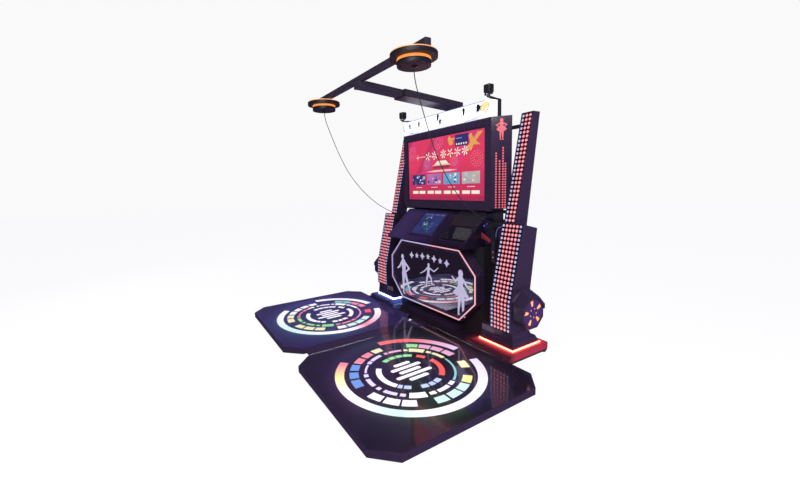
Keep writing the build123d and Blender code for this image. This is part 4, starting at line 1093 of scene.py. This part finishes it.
class DANCE_OT_desk(bpy.types.Operator):
    """Touch display picture, desk seams and speaker frame"""

    bl_idname = "dance.desk"
    bl_label = "Touch desk"
    angle = math.radians(42)

    def execute(self, context):
        glow = context.scene.dance_lights.screen_glow
        lip, lip_z = 1.462, 0.944
        up = (0, math.cos(self.angle), math.sin(self.angle))
        plane = Plane(at(0, lip, lip_z), (1, 0, 0), up)
        left, bottom, w, h = -0.071 - 0.18, 0.062 + 0.02, 0.36, 0.305
        surface = 0.0062
        shape = Shape()
        shape.slab(plane.outline([(left, bottom), (left + w, bottom), (left + w, bottom + h),
                                  (left, bottom + h)], surface),
                   plane.out * 0.0006, 0)
        rand = random.Random(5)
        for centre, count, material in (((0.34, 0.80), 9, 2), ((0.34, 0.45), 22, 1), ((0.72, 0.45), 20, 3),
                                        ((0.60, 0.28), 14, 3), ((0.74, 0.10), 10, 4), ((0.25, 0.30), 8, 4)):
            for k in range(count):
                u = left + w * min(0.97, max(0.03, rand.gauss(centre[0], 0.07)))
                v = bottom + h * min(0.97, max(0.03, rand.gauss(centre[1], 0.05)))
                size = rand.uniform(0.003, 0.012)
                shape.slab(plane.outline(rounded(size * 1.8, size, size * 0.3, (u, v), 2), surface + 0.0006),
                           plane.out * (0.0002 + 0.00001 * k), material)
        for k in range(4):
            shape.slab(plane.outline(rounded(0.07, 0.022, 0.005,
                                             (left + 0.05 + 0.087 * k, bottom + h - 0.02), 3),
                                             surface + 0.0006),
                       plane.out * 0.0003, 4)
        shape.piece("desk_picture", [
            self.ground(glow), lit("desk_mint", tone(130, 190, 160), glow),
            lit("desk_green", tone(120, 195, 140), glow),
            lit("desk_teal", tone(70, 110, 140), glow), lit("desk_violet", tone(85, 85, 150), glow)])
        trim = Shape()
        for u in (-0.615, -0.33, 0.215, 0.628):
            for v in (0.03, 0.24, 0.43):
                screw(trim, plane.point(u, v, 0.0), plane.out, 0.0055)
        for u in (-0.235, 0.235):
            trim.slab(plane.outline([(u - 0.0012, 0.006), (u + 0.0012, 0.006), (u + 0.0012, 0.05),
                                     (u - 0.0012, 0.05)], 0.0),
                      plane.out * 0.0006, 1)
        trim.piece("desk_screws", [finish("screw"), finish("recess")])
        # Dark laminate panel on the slope above the bay: painted shade that stands for the shadow inside a
        # deeper recess.
        recess_shade = Shape()
        recess_shade.slab(plane.outline([(0.263, 0.253), (0.611, 0.253), (0.611, 0.442), (0.263, 0.442)], 0.0),
                  plane.out * 0.0012)
        recess_shade.slab(plane.outline([(0.263, 0.253), (0.611, 0.253), (0.611, 0.259), (0.263, 0.259)], 0.0012),
                  plane.out * 0.0014)
        recess_shade.piece("recess_wall", [finish("board")], bevel=0.0004)
        self.lit_edges(plane)
        return {"FINISHED"}

    @staticmethod
    def ground(glow):
        made = Finish("desk_picture_ground", (0.01, 0.01, 0.02), 0.1)
        made.glow(made.mix(made.noise(9, 3), tone(24, 26, 62), tone(50, 62, 128)), glow * 0.95)
        return made.material

    @staticmethod
    def lit_edges(plane):
        """Raised trim that frames the display and the recess."""
        shape = Shape()
        for left, bottom, w, h, bar in ((-0.279, 0.054, 0.416, 0.361, 0.006),
                                        (0.254, 0.046, 0.366, 0.405, 0.008)):
            outer = ((left, bottom, w, bar), (left, bottom + h - bar, w, bar),
                     (left, bottom, bar, h), (left + w - bar, bottom, bar, h))
            for u, v, du, dv in outer:
                shape.slab(plane.outline([(u, v), (u + du, v), (u + du, v + dv), (u, v + dv)], 0.0),
                           plane.out * 0.0022)
        shape.piece("desk_trim", [finish("bezel")], bevel=0.0006)


class DANCE_OT_header(bpy.types.Operator):
    """Printed figures and lit edges of the clear header"""

    bl_idname = "dance.header"
    bl_label = "Header"

    def execute(self, context):
        low, high = node_box("header_screen")
        plane = Plane(at(0, low.y, low.z), (1, 0, 0), (0, 0, 1))
        shape = Shape()
        inset, arc_foot, arc_rise, arc_step = 0.012, 0.008, 0.11, 0.157
        for u, foot, height, pose, flip in (
                (-0.546, 0.058, 0.062, "hand_on_hip", 1), (-0.365, 0.058, 0.062, "full_skirt", -1),
                (-0.03, 0.075, 0.072, "hand_on_hip", -1), (0.0, 0.03, 0.06, "arms_wide", 1),
                (0.353, 0.068, 0.066, "full_skirt", 1), (0.545, 0.058, 0.076, "hand_on_hip", -1),
                (0.56, 0.07, 0.05, "arms_wide", 1)):
            dancer(shape, plane, (u, foot), height, pose, 0.0002, 0.0005, 0, flip, 3.0)
        for side in (-1, 1):
            for bend, width in ((0.30, 0.0022), (0.2, 0.0015)):
                arc = [(side * (high.x - inset - bend * (1 - math.sin(k * arc_step)) ** 1.3),
                        arc_foot + arc_rise * (1 - math.cos(k * arc_step))) for k in range(11)]
                for first, second in zip(arc, arc[1:]):
                    shape.slab(plane.outline(limb(first, second, width, width, 2), 0.0002),
                               plane.out * 0.0004, 0)
        for k, (from_end, v,
                reach_u) in enumerate(((0.06, 0.112, 0.052), (0.105, 0.088, 0.036), (0.075, 0.07, 0.026))):
            shape.slab(plane.outline(round_outline((high.x - from_end, v), reach_u, 20, 0.6),
                                     0.0002 + 0.0001 * k),
                       plane.out * 0.0002, 1)
        shape.piece("header_figures", [finish("print_dark"), finish("print_warm")])
        edge = Shape()
        bar = 0.0022
        edge.block(at(low.x + 0.06, low.y - bar, high.z - 0.008), at(high.x - 0.06, low.y, high.z), 0)
        edge.block(at(low.x + 0.06, low.y - bar, low.z), at(high.x - 0.06, low.y, low.z + 0.004), 0)
        for side in (-1, 1):
            x = side * high.x
            edge.block(at(min(x, x + side * -bar), high.y - 0.004, low.z),
                       at(max(x, x + side * -bar), high.y, high.z), 0)
        edge.piece("header_edges", [finish("acrylic_edge")])
        return {"FINISHED"}


class DANCE_OT_boom(bpy.types.Operator):
    """Fastenings, end caps and joints of the boom and the crossbar"""

    bl_idname = "dance.boom"
    bl_label = "Boom"

    def execute(self, context):
        shape = Shape()
        radius = context.scene.dance_body.screw_radius
        low, high = node_box("boom_sleeve")
        slope = 0.077
        for k in range(5):
            y = low.y + 0.04 + (high.y - low.y - 0.08) * k / 4
            z = 2.475 - slope * (y - 0.822) + 0.008
            for side in (-1, 1):
                screw(shape, at(side * high.x, y, z - 0.03), (side, 0, 0), radius)
                screw(shape, at(side * 0.08, y, z), (0, slope, 1), radius)
        low, high = node_box("crossbar")
        for side in (-1, 1):
            for x in (0.03, 0.045):
                screw(shape, at(side * x, low.y, (low.z + high.z) / 2), (0, -1, 0), radius * 0.8)
            for dx in (-0.035, 0.035):
                screw(shape, at(side * 0.8365 + dx, (low.y + high.y) / 2, high.z - 0.0055), (0, 0, 1),
                      radius * 0.8)
        shape.piece("boom_screws", [finish("screw"), finish("recess")])
        caps = Shape()
        for side in (-1, 1):
            end = side * (high.x - 0.0125)
            caps.block(at(min(end, end + side * 0.012), low.y + 0.002, low.z + 0.002),
                       at(max(end, end + side * 0.012), high.y - 0.002, high.z - 0.002))
        caps.piece("crossbar_caps", [finish("plastic")], bevel=0.002)
        rails = Shape()
        for half, y0, y1, deep in ((0.062, 0.822, 1.236, 0.051), (0.095, 1.25, 1.97, 0.06)):
            for side in (-1, 1):
                for drop in (0.004, deep - 0.012):
                    a = at(side * half, y0, 2.475 - slope * (y0 - 0.822) - drop)
                    b = at(side * half, y1, 2.475 - slope * (y1 - 0.822) - drop)
                    rails.slab([a, b, b + Vector((0, 0, 0.009)), a + Vector((0, 0, 0.009))],
                               (side * 0.004, 0, 0))
        rails.piece("boom_rails", [finish("boom")], bevel=0.001)
        lips = Shape()
        low, high = node_box("boom_sleeve")
        mouth = 2.475 - slope * (low.y - 0.822)
        for z0, z1 in ((mouth + 0.0005, mouth + 0.0085), (mouth - 0.0595, mouth - 0.0515)):
            lips.block(at(-0.096, low.y - 0.004, z0), at(0.096, low.y + 0.004, z1))
        for side in (-1, 1):
            lips.block(at(min(side * 0.0635, side * 0.096), low.y - 0.004, mouth - 0.0595),
                       at(max(side * 0.0635, side * 0.096), low.y + 0.004, mouth + 0.0085))
        lips.piece("sleeve_lip", [finish("plastic")], bevel=0.0015)
        return {"FINISHED"}


class DANCE_OT_discs(bpy.types.Operator):
    """Lamp beads, screws and glands of the overhead discs"""

    bl_idname = "dance.discs"
    bl_label = "Discs"

    def execute(self, context):
        low, high = node_box("disc_cups")
        centre_y = (low.y + high.y) / 2
        for side in (-1, 1):
            word = "right" if side > 0 else "left"
            x = side * 0.8365
            shape = Shape()
            for k in range(48):
                a = math.tau * k / 48
                out = Vector((math.cos(a), math.sin(a), 0))
                centre = at(x, centre_y, 2.423) + out * 0.1225
                shape.turned(centre, out, [(0.0052, 0), (0.0044, 0.0022), (0, 0.0034)], 8, 0)
            for k in range(60):
                a = math.tau * k / 60
                out = Vector((math.cos(a), math.sin(a), 0))
                centre = at(x, centre_y, 2.469) + out * 0.1705
                shape.turned(centre, out, [(0.0028, 0), (0.0024, 0.0014), (0, 0.002)], 6, 1)
            for k in range(8):
                a = math.tau * (k + 0.5) / 8
                out = Vector((math.cos(a), math.sin(a), 0))
                screw(shape, at(x, centre_y, 2.449) + out * 0.1745, out, 0.005, 2, 3)
                screw(shape, at(x, centre_y, 2.378) + out * 0.1, (0, 0, -1), 0.005, 2, 3)
            shape.turned(at(x, centre_y, 2.3795), (0, 0, -1), [(0.032, 0), (0.032, 0.003), (0.026, 0.0055),
                                                              (0.0145, 0.006), (0.0145, 0.002)], 28, 2)
            shape.piece(f"disc_beads_{word}",
                        [lit("amber_bead_" + word, tone(255, 190, 90), 1.0, tone(235, 120, 35)),
                                              lit("cream_bead_" + word, tone(255, 205, 140), 1.0,
                                                  tone(250, 150, 70)),
                                              finish("screw"), finish("recess")])
        return {"FINISHED"}


class DANCE_OT_trackers(bpy.types.Operator):
    """Lenses, seams and lamps of the two sensor heads"""

    bl_idname = "dance.trackers"
    bl_label = "Sensor heads"

    def execute(self, context):
        for side in ("left", "right"):
            low, high = node_box(f"tracker_body_{side}")
            centre = (low + high) / 2
            front = low.y
            shape = Shape()
            shape.turned(at(centre.x, front + 0.0035, centre.z), (0, -1, 0),
                         [(0.0245, 0), (0.0245, 0.0032), (0.021, 0.0034), (0.018, 0.0012), (0.009, 0.0006),
                          (0, 0.0024)], 28, [0, 0, 0, 1, 1])
            shape.turned(at(centre.x + 0.024, front + 0.0002, centre.z + 0.024), (0, -1, 0),
                         [(0.0022, 0), (0.0018, 0.0008), (0, 0.001)], 10, 2)
            for dz in (-0.022, 0.022):
                shape.block(at(high.x - 0.0004, centre.y - 0.02, centre.z + dz - 0.001),
                            at(high.x, centre.y + 0.02, centre.z + dz + 0.001), 0)
            shape.piece(f"tracker_lens_{side}", [finish("bezel"), finish("lens"), finish("art_left")],
                        f"tracker_body_{side}")
            knobs = Shape()
            for turn in (-1, 1):
                knobs.turned(at(centre.x + turn * 0.042, centre.y, centre.z), (turn, 0, 0),
                             [(0.0075, 0), (0.0075, 0.0025), (0.0045, 0.0035), (0, 0.0036)], 16, 0)
            knobs.piece(f"tracker_knobs_{side}", [finish("screw")], f"tracker_yoke_{side}")
        return {"FINISHED"}


# Routes in metres, exit first; Y is counted from the platforms' front edge.
TETHER_ROUTE = [
    (0.8365, 0.791, 2.372), (0.8365, 0.791, 2.328), (0.835, 0.807, 2.257), (0.832, 0.835, 2.178),
    (0.829, 0.867, 2.094), (0.826, 0.900, 2.009), (0.822, 0.935, 1.924), (0.817, 0.973, 1.840),
    (0.812, 1.015, 1.757), (0.807, 1.063, 1.677), (0.801, 1.117, 1.600), (0.795, 1.176, 1.526),
    (0.788, 1.241, 1.456), (0.781, 1.311, 1.391), (0.774, 1.386, 1.331), (0.766, 1.465, 1.277),
    (0.759, 1.549, 1.231), (0.752, 1.630, 1.193), (0.750, 1.6944, 1.1625), (0.749, 1.7388, 1.1379),
    (0.749, 1.7388, 1.087), (0.748, 1.740, 1.046), (0.748, 1.740, 1.006)]
LEAD_ROUTE = [
    (0.862, 1.746, 1.130), (0.832, 1.746, 1.130), (0.803, 1.745, 1.119), (0.783, 1.746, 1.096),
    (0.773, 1.747, 1.066), (0.770, 1.748, 1.036), (0.770, 1.748, 1.006)]


class DANCE_OT_cords(bpy.types.Operator):
    """Hang the two tethers and the two short leads"""

    bl_idname = "dance.cords"
    bl_label = "Tethers and leads"

    def execute(self, context):
        for side in (-1, 1):
            word = "right" if side > 0 else "left"
            self.cord(f"tether_line_{word}", TETHER_ROUTE, side, 0.007, 1.76, f"tether_{word}", "tether",
                      "limp")
            self.cord(f"lead_line_{word}", LEAD_ROUTE, side, 0.010, 0.182, f"link_lead_{word}", "lead",
                      "medium")
        return {"FINISHED"}

    @staticmethod
    def cord(name, route, side, diameter, length, node, jacket, stiffness):
        curve = bpy.data.curves.new(name, "CURVE")
        curve.dimensions = "3D"
        curve.bevel_depth, curve.bevel_resolution, curve.resolution_u = diameter / 2, 4, 6
        curve.use_fill_caps = True
        spline = curve.splines.new("NURBS")
        spline.points.add(len(route) - 1)
        for point, (x, y, z) in zip(spline.points, route):
            point.co = (*at(side * x, y, z), 1)
        spline.order_u = 3
        spline.use_endpoint_u = True
        made = bpy.data.objects.new(name, curve)
        bpy.context.scene.collection.objects.link(made)
        curve.materials.append(finish(jacket))
        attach(made, MACHINE)
        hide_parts(node)
        x, y, z = route[0]
        tuple(at(side * x, y, z))


class DANCE_OT_nooks(bpy.types.Operator):
    """Ferrules, lit plates and small lamps beside the desk"""

    bl_idname = "dance.nooks"
    bl_label = "Side nooks"

    def execute(self, context):
        for side in (-1, 1):
            word = "right" if side > 0 else "left"
            shape = Shape()
            for x, y, radius in ((0.748, 1.740, 0.0075), (0.770, 1.748, 0.0095)):
                shape.turned(at(side * x, y, 1.0062), (0, 0, 1),
                             [(radius, 0), (radius, 0.008), (radius * 0.8, 0.022), (radius * 0.72, 0.022)],
                             16, 0)
            shape.turned(at(side * 0.8622, 1.746, 1.130), (-side, 0, 0),
                         [(0.0125, 0), (0.0125, 0.006), (0.0085, 0.018), (0.007, 0.018)], 16, 0)
            shape.block(at(min(side * 0.738, side * 0.776), 1.7252, 0.80),
                        at(max(side * 0.738, side * 0.776), 1.7262, 0.99), 1)
            for k in range(2):
                shape.turned(at(side * 0.757, 1.7254, 0.84 + 0.05 * k), (0, -1, 0),
                             [(0.004, 0), (0.0035, 0.0015), (0, 0.002)], 12, 2)
            shape.piece(f"nook_glands_{word}", [finish("plastic"), finish("bezel"), finish("lamp_window")])
            plate = Shape()
            ground = Plane(at(side * 0.6402, 1.700, 0.990), (side, 0, 0), (0, 0, 1))
            front = Vector((0, -1, 0))
            plate.slab(ground.outline([(0, 0.022), (0.100, -0.012), (0.114, 0.016), (0, 0.078)]),
                       front * 0.0012, 0)
            for row in range(8):
                v = 0.024 + 0.0068 * row
                length = min(0.108, (0.076 - v) / 0.545 - 0.006)
                fall = 0.34
                stripe = [(0.004, v), (length, v - fall * length), (length, v + 0.0026 - fall * length),
                          (0.004, v + 0.0026)]
                if length > 0.02:
                    plate.slab([p + front * 0.0012 for p in ground.outline(stripe)], front * 0.0006, 1)
            plate.piece(f"nook_plate_{word}",
                        [lit("nook_red_" + word, tone(150, 50, 62), 0.8), finish("recess")])
            oval = Shape()
            for y, z in ((1.735, 1.125), (1.772, 1.137)):
                oval.turned(at(side * 0.6402, y, z), (side, 0, 0), [(0.012, 0), (0.011, 0.002), (0, 0.003)],
                            18, 0)
            oval.piece(f"nook_lamps_{word}", [lit("nook_blue_" + word, tone(75, 80, 190), 0.9)])
        return {"FINISHED"}


class DANCE_OT_base(bpy.types.Operator):
    """Screws, plates of painted reflection and edge trims of the platforms and the base"""

    bl_idname = "dance.base"
    bl_label = "Platforms and base"

    def execute(self, context):
        radius = context.scene.dance_body.screw_radius
        screws = Shape()
        low, high = 0.073, 1.525
        depth, cut, z = 1.454, 0.146, 0.034
        for side in (-1, 1):
            for k in range(6):
                x = low + cut + 0.04 + (high - low - 2 * cut - 0.08) * k / 5
                screw(screws, at(side * x, 0.0005, z), (0, -1, 0), radius * 0.8)
                y = cut + 0.04 + (depth - 2 * cut - 0.08) * k / 5
                screw(screws, at(side * (high - 0.0005), y, z), (side, 0, 0), radius * 0.8)
            for y in (1.50, 1.73, 1.96):
                screw(screws, at(side * 1.1475, y, 0.075), (side, 0, 0), radius * 0.8)
            for x in (0.68, 0.40, 0.12):
                screw(screws, at(side * x, 1.475, 0.060), (0, 0, 1), radius)
                screw(screws, at(side * x, 1.985, 0.060), (0, 0, 1), radius)
        screws.piece("platform_screws", [finish("screw"), finish("recess")])
        trims = Shape()
        inset, top, bar = 0.0016, 0.0602, 0.0035
        for side in (-1, 1):
            outline = [(low + cut, 0), (high - cut, 0), (high, cut), (high, depth - cut),
                       (high - cut, depth), (low + cut, depth), (low, depth - cut), (low, cut)]
            for (x0, y0), (x1, y1) in zip(outline, outline[1:] + outline[:1]):
                a, b = at(side * x0, y0, top), at(side * x1, y1, top)
                along = (b - a).normalized()
                inward = along.cross(Vector((0, 0, 1))) * (-side)
                a, b = a + inward * inset, b + inward * inset
                trims.slab([a, b, b + inward * bar, a + inward * bar], (0, 0, 0.0012))
        trims.piece("platform_trims", [finish("bezel")])
        sheets = Shape()
        inset, cut_in = 0.0035, cut - 0.00205
        for side in (-1, 1):
            x0, x1, y0, y1 = low + inset, high - inset, inset, depth - inset
            outline = [(x0 + cut_in, y0), (x1 - cut_in, y0), (x1, y0 + cut_in), (x1, y1 - cut_in),
                       (x1 - cut_in, y1), (x0 + cut_in, y1), (x0, y1 - cut_in), (x0, y0 + cut_in)]
            sheets.slab([at(side * x, y, 0.05415) for x, y in outline], (0, 0, 0.00585))
        glass = sheets.piece("floor_glass_sheets", [finish("floor_glass")], bevel=0.0008)
        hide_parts("floor_glass")
        # Grey plates with a slanting edge on the plinth fronts: painted reflection of the room's light on the
        # glossy lacquer.
        reflection_plates = Shape()
        for side in (-1, 1):
            lean = Plane(at(side * 0.754, 1.5898, 0.184), (side, 0, 0), (0, 0.0001, 1))
            reflection_plates.slab(lean.outline([(0, 0), (0.15, 0), (0.124, 0.054), (0, 0.054)]),
                        lean.out * (0.0012 if side > 0 else -0.0012))
        reflection_plates.piece("plinth_reflectors", [self.painted_reflection()])
        return {"FINISHED"}

    @staticmethod
    def painted_reflection():
        """Grey plate with a fine cell pattern: a painted reflection of the room's light on the glossy plinth
        front, ending in a slanting edge.
        """
        made = Finish("painted_reflection_film", (0.3, 0.27, 0.33), 0.35, Metallic=0.6)
        cells = made.node("ShaderNodeTexVoronoi", inputs={"Vector": made.place(), "Scale": 140.0},
                          output="Distance")
        made.set("Base Color", made.ramp(cells, [(0.0, (0.5, 0.46, 0.52)), (0.5, (0.22, 0.2, 0.25))]))
        made.bump(cells, 0.5, 0.001)
        return made.material


class DANCE_OT_back(bpy.types.Operator):
    """Screws, seams and sockets on the back and sides of the cabinet"""

    bl_idname = "dance.back"
    bl_label = "Cabinet back"

    def execute(self, context):
        shape = Shape()
        low, high = node_box("tower_shell")
        back = high.y
        for z in (low.z + 0.04, 1.25, 1.55, 1.85, high.z - 0.03):
            for x in (low.x + 0.02, -0.2, 0.2, high.x - 0.02):
                screw(shape, at(x, back, z), (0, 1, 0), 0.006)
        for z in (0.1, 0.32, 0.62, 0.9):
            for x in (-0.665, 0.665):
                screw(shape, at(x, 2.04, z), (0, 1, 0), 0.006)
                screw(shape, at(math.copysign(0.69, x), 1.98, z), (math.copysign(1, x), 0, 0), 0.006)
        shape.piece("back_screws", [finish("screw"), finish("recess")])
        seams = Shape()
        for z in (1.40, 1.80):
            seams.block(at(low.x + 0.004, back, z - 0.001), at(high.x - 0.004, back + 0.0008, z + 0.001))
        for x in (-0.305, 0.305):
            seams.block(at(x - 0.001, back, low.z + 0.01), at(x + 0.001, back + 0.0008, high.z - 0.01))
        seams.piece("back_seams", [finish("recess")])
        handle = Shape()
        for side in (-1, 1):
            x = side * 0.5
            for z in (0.60, 0.72):
                handle.turned(at(x, 2.04, z), (0, 1, 0),
                              [(0.011, 0), (0.011, 0.004), (0.0065, 0.006), (0.0065, 0.012)], 14, 0)
            handle.turned(at(x, 2.0505, 0.592), (0, 0, 1),
                          [(0.004, 0), (0.0062, 0.003), (0.0062, 0.133), (0.004, 0.136)], 14, 0)
        handle.piece("back_handles", [finish("bright")])
        fan = Shape()
        for k in range(4):
            ring = 0.014 + 0.013 * k
            outline = round_outline((0, 0), ring + 0.001, 40)
            inner = round_outline((0, 0), ring - 0.001, 40)
            plane = Plane(at(0, back, 1.7), (-1, 0, 0), (0, 0, 1))
            for a, b, c, d in zip(outline, outline[1:] + outline[:1], inner[1:] + inner[:1], inner):
                fan.slab(plane.outline([a, b, c, d], 0.0004), plane.out * 0.0016)
        for k in range(4):
            a = math.pi / 4 + math.pi / 2 * k
            fan.slab(plane.outline(limb((0.0, 0.0), (0.072 * math.cos(a), 0.072 * math.sin(a)), 0.002, 0.002,
                                        3), 0.0002),
                     plane.out * 0.0016)
        fan.piece("fan_guard", [finish("bright")])
        return {"FINISHED"}


class DANCE_OT_stage(bpy.types.Operator):
    """Pale floor and backdrop, soft lights and the camera"""

    bl_idname = "dance.stage"
    bl_label = "Stage"

    def execute(self, context):
        scene = context.scene
        settings = scene.dance_stage
        scene.view_settings.view_transform = "Standard"
        floor_mesh = bpy.data.meshes.new("studio_floor")
        reach = 40.0
        floor_mesh.from_pydata([(-reach, -reach, 0), (reach, -reach, 0), (reach, reach, 0),
                                (-reach, reach, 0)],
                               [], [(0, 1, 2, 3)])
        floor = bpy.data.objects.new("studio_floor", floor_mesh)
        paint = Finish("studio_floor", tuple(c * 0.12 for c in settings.floor_color), 0.8)
        paint.glow(tuple(settings.floor_color), 0.98)
        floor_mesh.materials.append(paint.material)
        floor.visible_glossy = floor.visible_transmission = False
        backdrop_mesh = bpy.data.meshes.new("studio_backdrop")
        shell = bmesh.new()
        bmesh.ops.create_uvsphere(shell, u_segments=48, v_segments=24, radius=reach * 0.9)
        shell.to_mesh(backdrop_mesh)
        shell.free()
        backdrop = bpy.data.objects.new("studio_backdrop", backdrop_mesh)
        paper = Finish("studio_paper", (0, 0, 0), 1.0)
        paper.glow((1.0, 1.0, 1.0), 0.95)
        backdrop_mesh.materials.append(paper.material)
        backdrop.visible_glossy = backdrop.visible_diffuse = backdrop.visible_shadow = False
        backdrop.visible_transmission = False
        for made in (floor, backdrop):
            scene.collection.objects.link(made)
        scene.world = self.surroundings()
        self.light(scene, "key", (3.6, -3.4, 4.2), 3.0, settings.key_power)
        self.light(scene, "fill", (-4.0, -3.0, 3.2), 3.0, settings.key_power * 0.3).visible_glossy = False
        self.light(scene, "top", (0.5, 0.6, 6.0), 3.5, settings.key_power * 0.3).visible_glossy = False
        self.light(scene, "side", (5.0, 1.5, 2.5), 2.0, settings.key_power * 0.3).visible_glossy = False
        camera_data = bpy.data.cameras.new("camera")
        camera_data.lens, camera_data.sensor_width = settings.lens, 36.0
        camera_data.shift_x, camera_data.shift_y = 0.0199, -0.0245
        camera = bpy.data.objects.new("camera", camera_data)
        scene.collection.objects.link(camera)
        yaw, pitch, roll = math.radians(58.29), math.radians(-6.85), math.radians(-1.66)
        forward = Vector((-math.sin(yaw) * math.cos(pitch), math.cos(yaw) * math.cos(pitch), math.sin(pitch)))
        right = Vector((math.cos(yaw), math.sin(yaw), 0))
        up = right.cross(forward)
        leaned = right * math.cos(roll) + up * math.sin(roll)
        upward = up * math.cos(roll) - right * math.sin(roll)
        turn = Matrix((leaned, upward, -forward)).transposed()
        camera.matrix_world = Matrix.Translation(at(3.0457, -0.8688, 1.5199)) @ turn.to_4x4()
        camera_data.clip_end = 200
        scene.camera = camera
        return {"FINISHED"}

    @staticmethod
    def surroundings():
        """Dim room light, violet behind the machine and nearly dark in front of it."""
        world = bpy.data.worlds.new("studio_world")
        world.use_nodes = True
        tree = world.node_tree
        way = tree.nodes.new("ShaderNodeTexCoord")
        facing = tree.nodes.new("ShaderNodeVectorMath")
        facing.operation = "DOT_PRODUCT"
        facing.inputs[1].default_value = (-0.05, 0.5, 0.0)
        centred = tree.nodes.new("ShaderNodeMath")
        centred.operation = "ADD"
        centred.inputs[1].default_value = 0.5
        ramp = tree.nodes.new("ShaderNodeValToRGB")
        ramp.color_ramp.elements[0].position, ramp.color_ramp.elements[0].color = 0.25, (0.022, 0.014, 0.028,
                                                                                         1)
        ramp.color_ramp.elements[1].position, ramp.color_ramp.elements[1].color = 0.95, (0.12, 0.088, 0.24, 1)
        tree.links.new(way.outputs["Generated"], facing.inputs[0])
        tree.links.new(facing.outputs["Value"], centred.inputs[0])
        tree.links.new(centred.outputs[0], ramp.inputs["Fac"])
        tree.links.new(ramp.outputs["Color"], tree.nodes["Background"].inputs["Color"])
        tree.nodes["Background"].inputs["Strength"].default_value = 1.0
        return world

    @staticmethod
    def light(scene, name, place, size, power):
        data = bpy.data.lights.new(name, "AREA")
        data.shape, data.size, data.energy = "DISK", size, power
        lamp = bpy.data.objects.new(name, data)
        lamp.location = place
        lamp.rotation_euler = (Vector((0, 0, 0.9)) - Vector(place)).to_track_quat("-Z", "Y").to_euler()
        scene.collection.objects.link(lamp)
        return lamp


OPERATORS = (DANCE_OT_finishes, DANCE_OT_column_lamps, DANCE_OT_wing_lamps, DANCE_OT_side_lamps,
             DANCE_OT_door_print, DANCE_OT_big_screen, DANCE_OT_desk, DANCE_OT_header, DANCE_OT_boom,
             DANCE_OT_discs, DANCE_OT_trackers, DANCE_OT_cords, DANCE_OT_nooks, DANCE_OT_base,
             DANCE_OT_back, DANCE_OT_stage)


class DANCE_PT_sidebar(bpy.types.Panel):
    bl_idname = "DANCE_PT_sidebar"
    bl_label = "Dance machine"
    bl_space_type = "VIEW_3D"
    bl_region_type = "UI"
    bl_category = "Dance machine"

    def draw(self, context):
        for name in ("dance_body", "dance_lights", "dance_stage"):
            group = getattr(context.scene, name)
            for key in group.__annotations__:
                self.layout.prop(group, key)
        for operator in OPERATORS:
            self.layout.operator(operator.bl_idname)


CLASSES = (DanceBodySettings, DanceLightSettings, DanceStageSettings, *OPERATORS, DANCE_PT_sidebar)


def register():
    for made in CLASSES:
        bpy.utils.register_class(made)
    bpy.types.Scene.dance_body = bpy.props.PointerProperty(type=DanceBodySettings)
    bpy.types.Scene.dance_lights = bpy.props.PointerProperty(type=DanceLightSettings)
    bpy.types.Scene.dance_stage = bpy.props.PointerProperty(type=DanceStageSettings)


def unregister():
    for name in ("dance_body", "dance_lights", "dance_stage"):
        delattr(bpy.types.Scene, name)
    for made in reversed(CLASSES):
        bpy.utils.unregister_class(made)


def main():
    register()
    for name in ("Cube", "Light", "Camera"):
        if name in bpy.data.objects:
            bpy.data.objects.remove(bpy.data.objects[name])
    for operator in OPERATORS:
        group, verb = operator.bl_idname.split(".")
        getattr(getattr(bpy.ops, group), verb)()


if __name__ == "__main__":
    main()
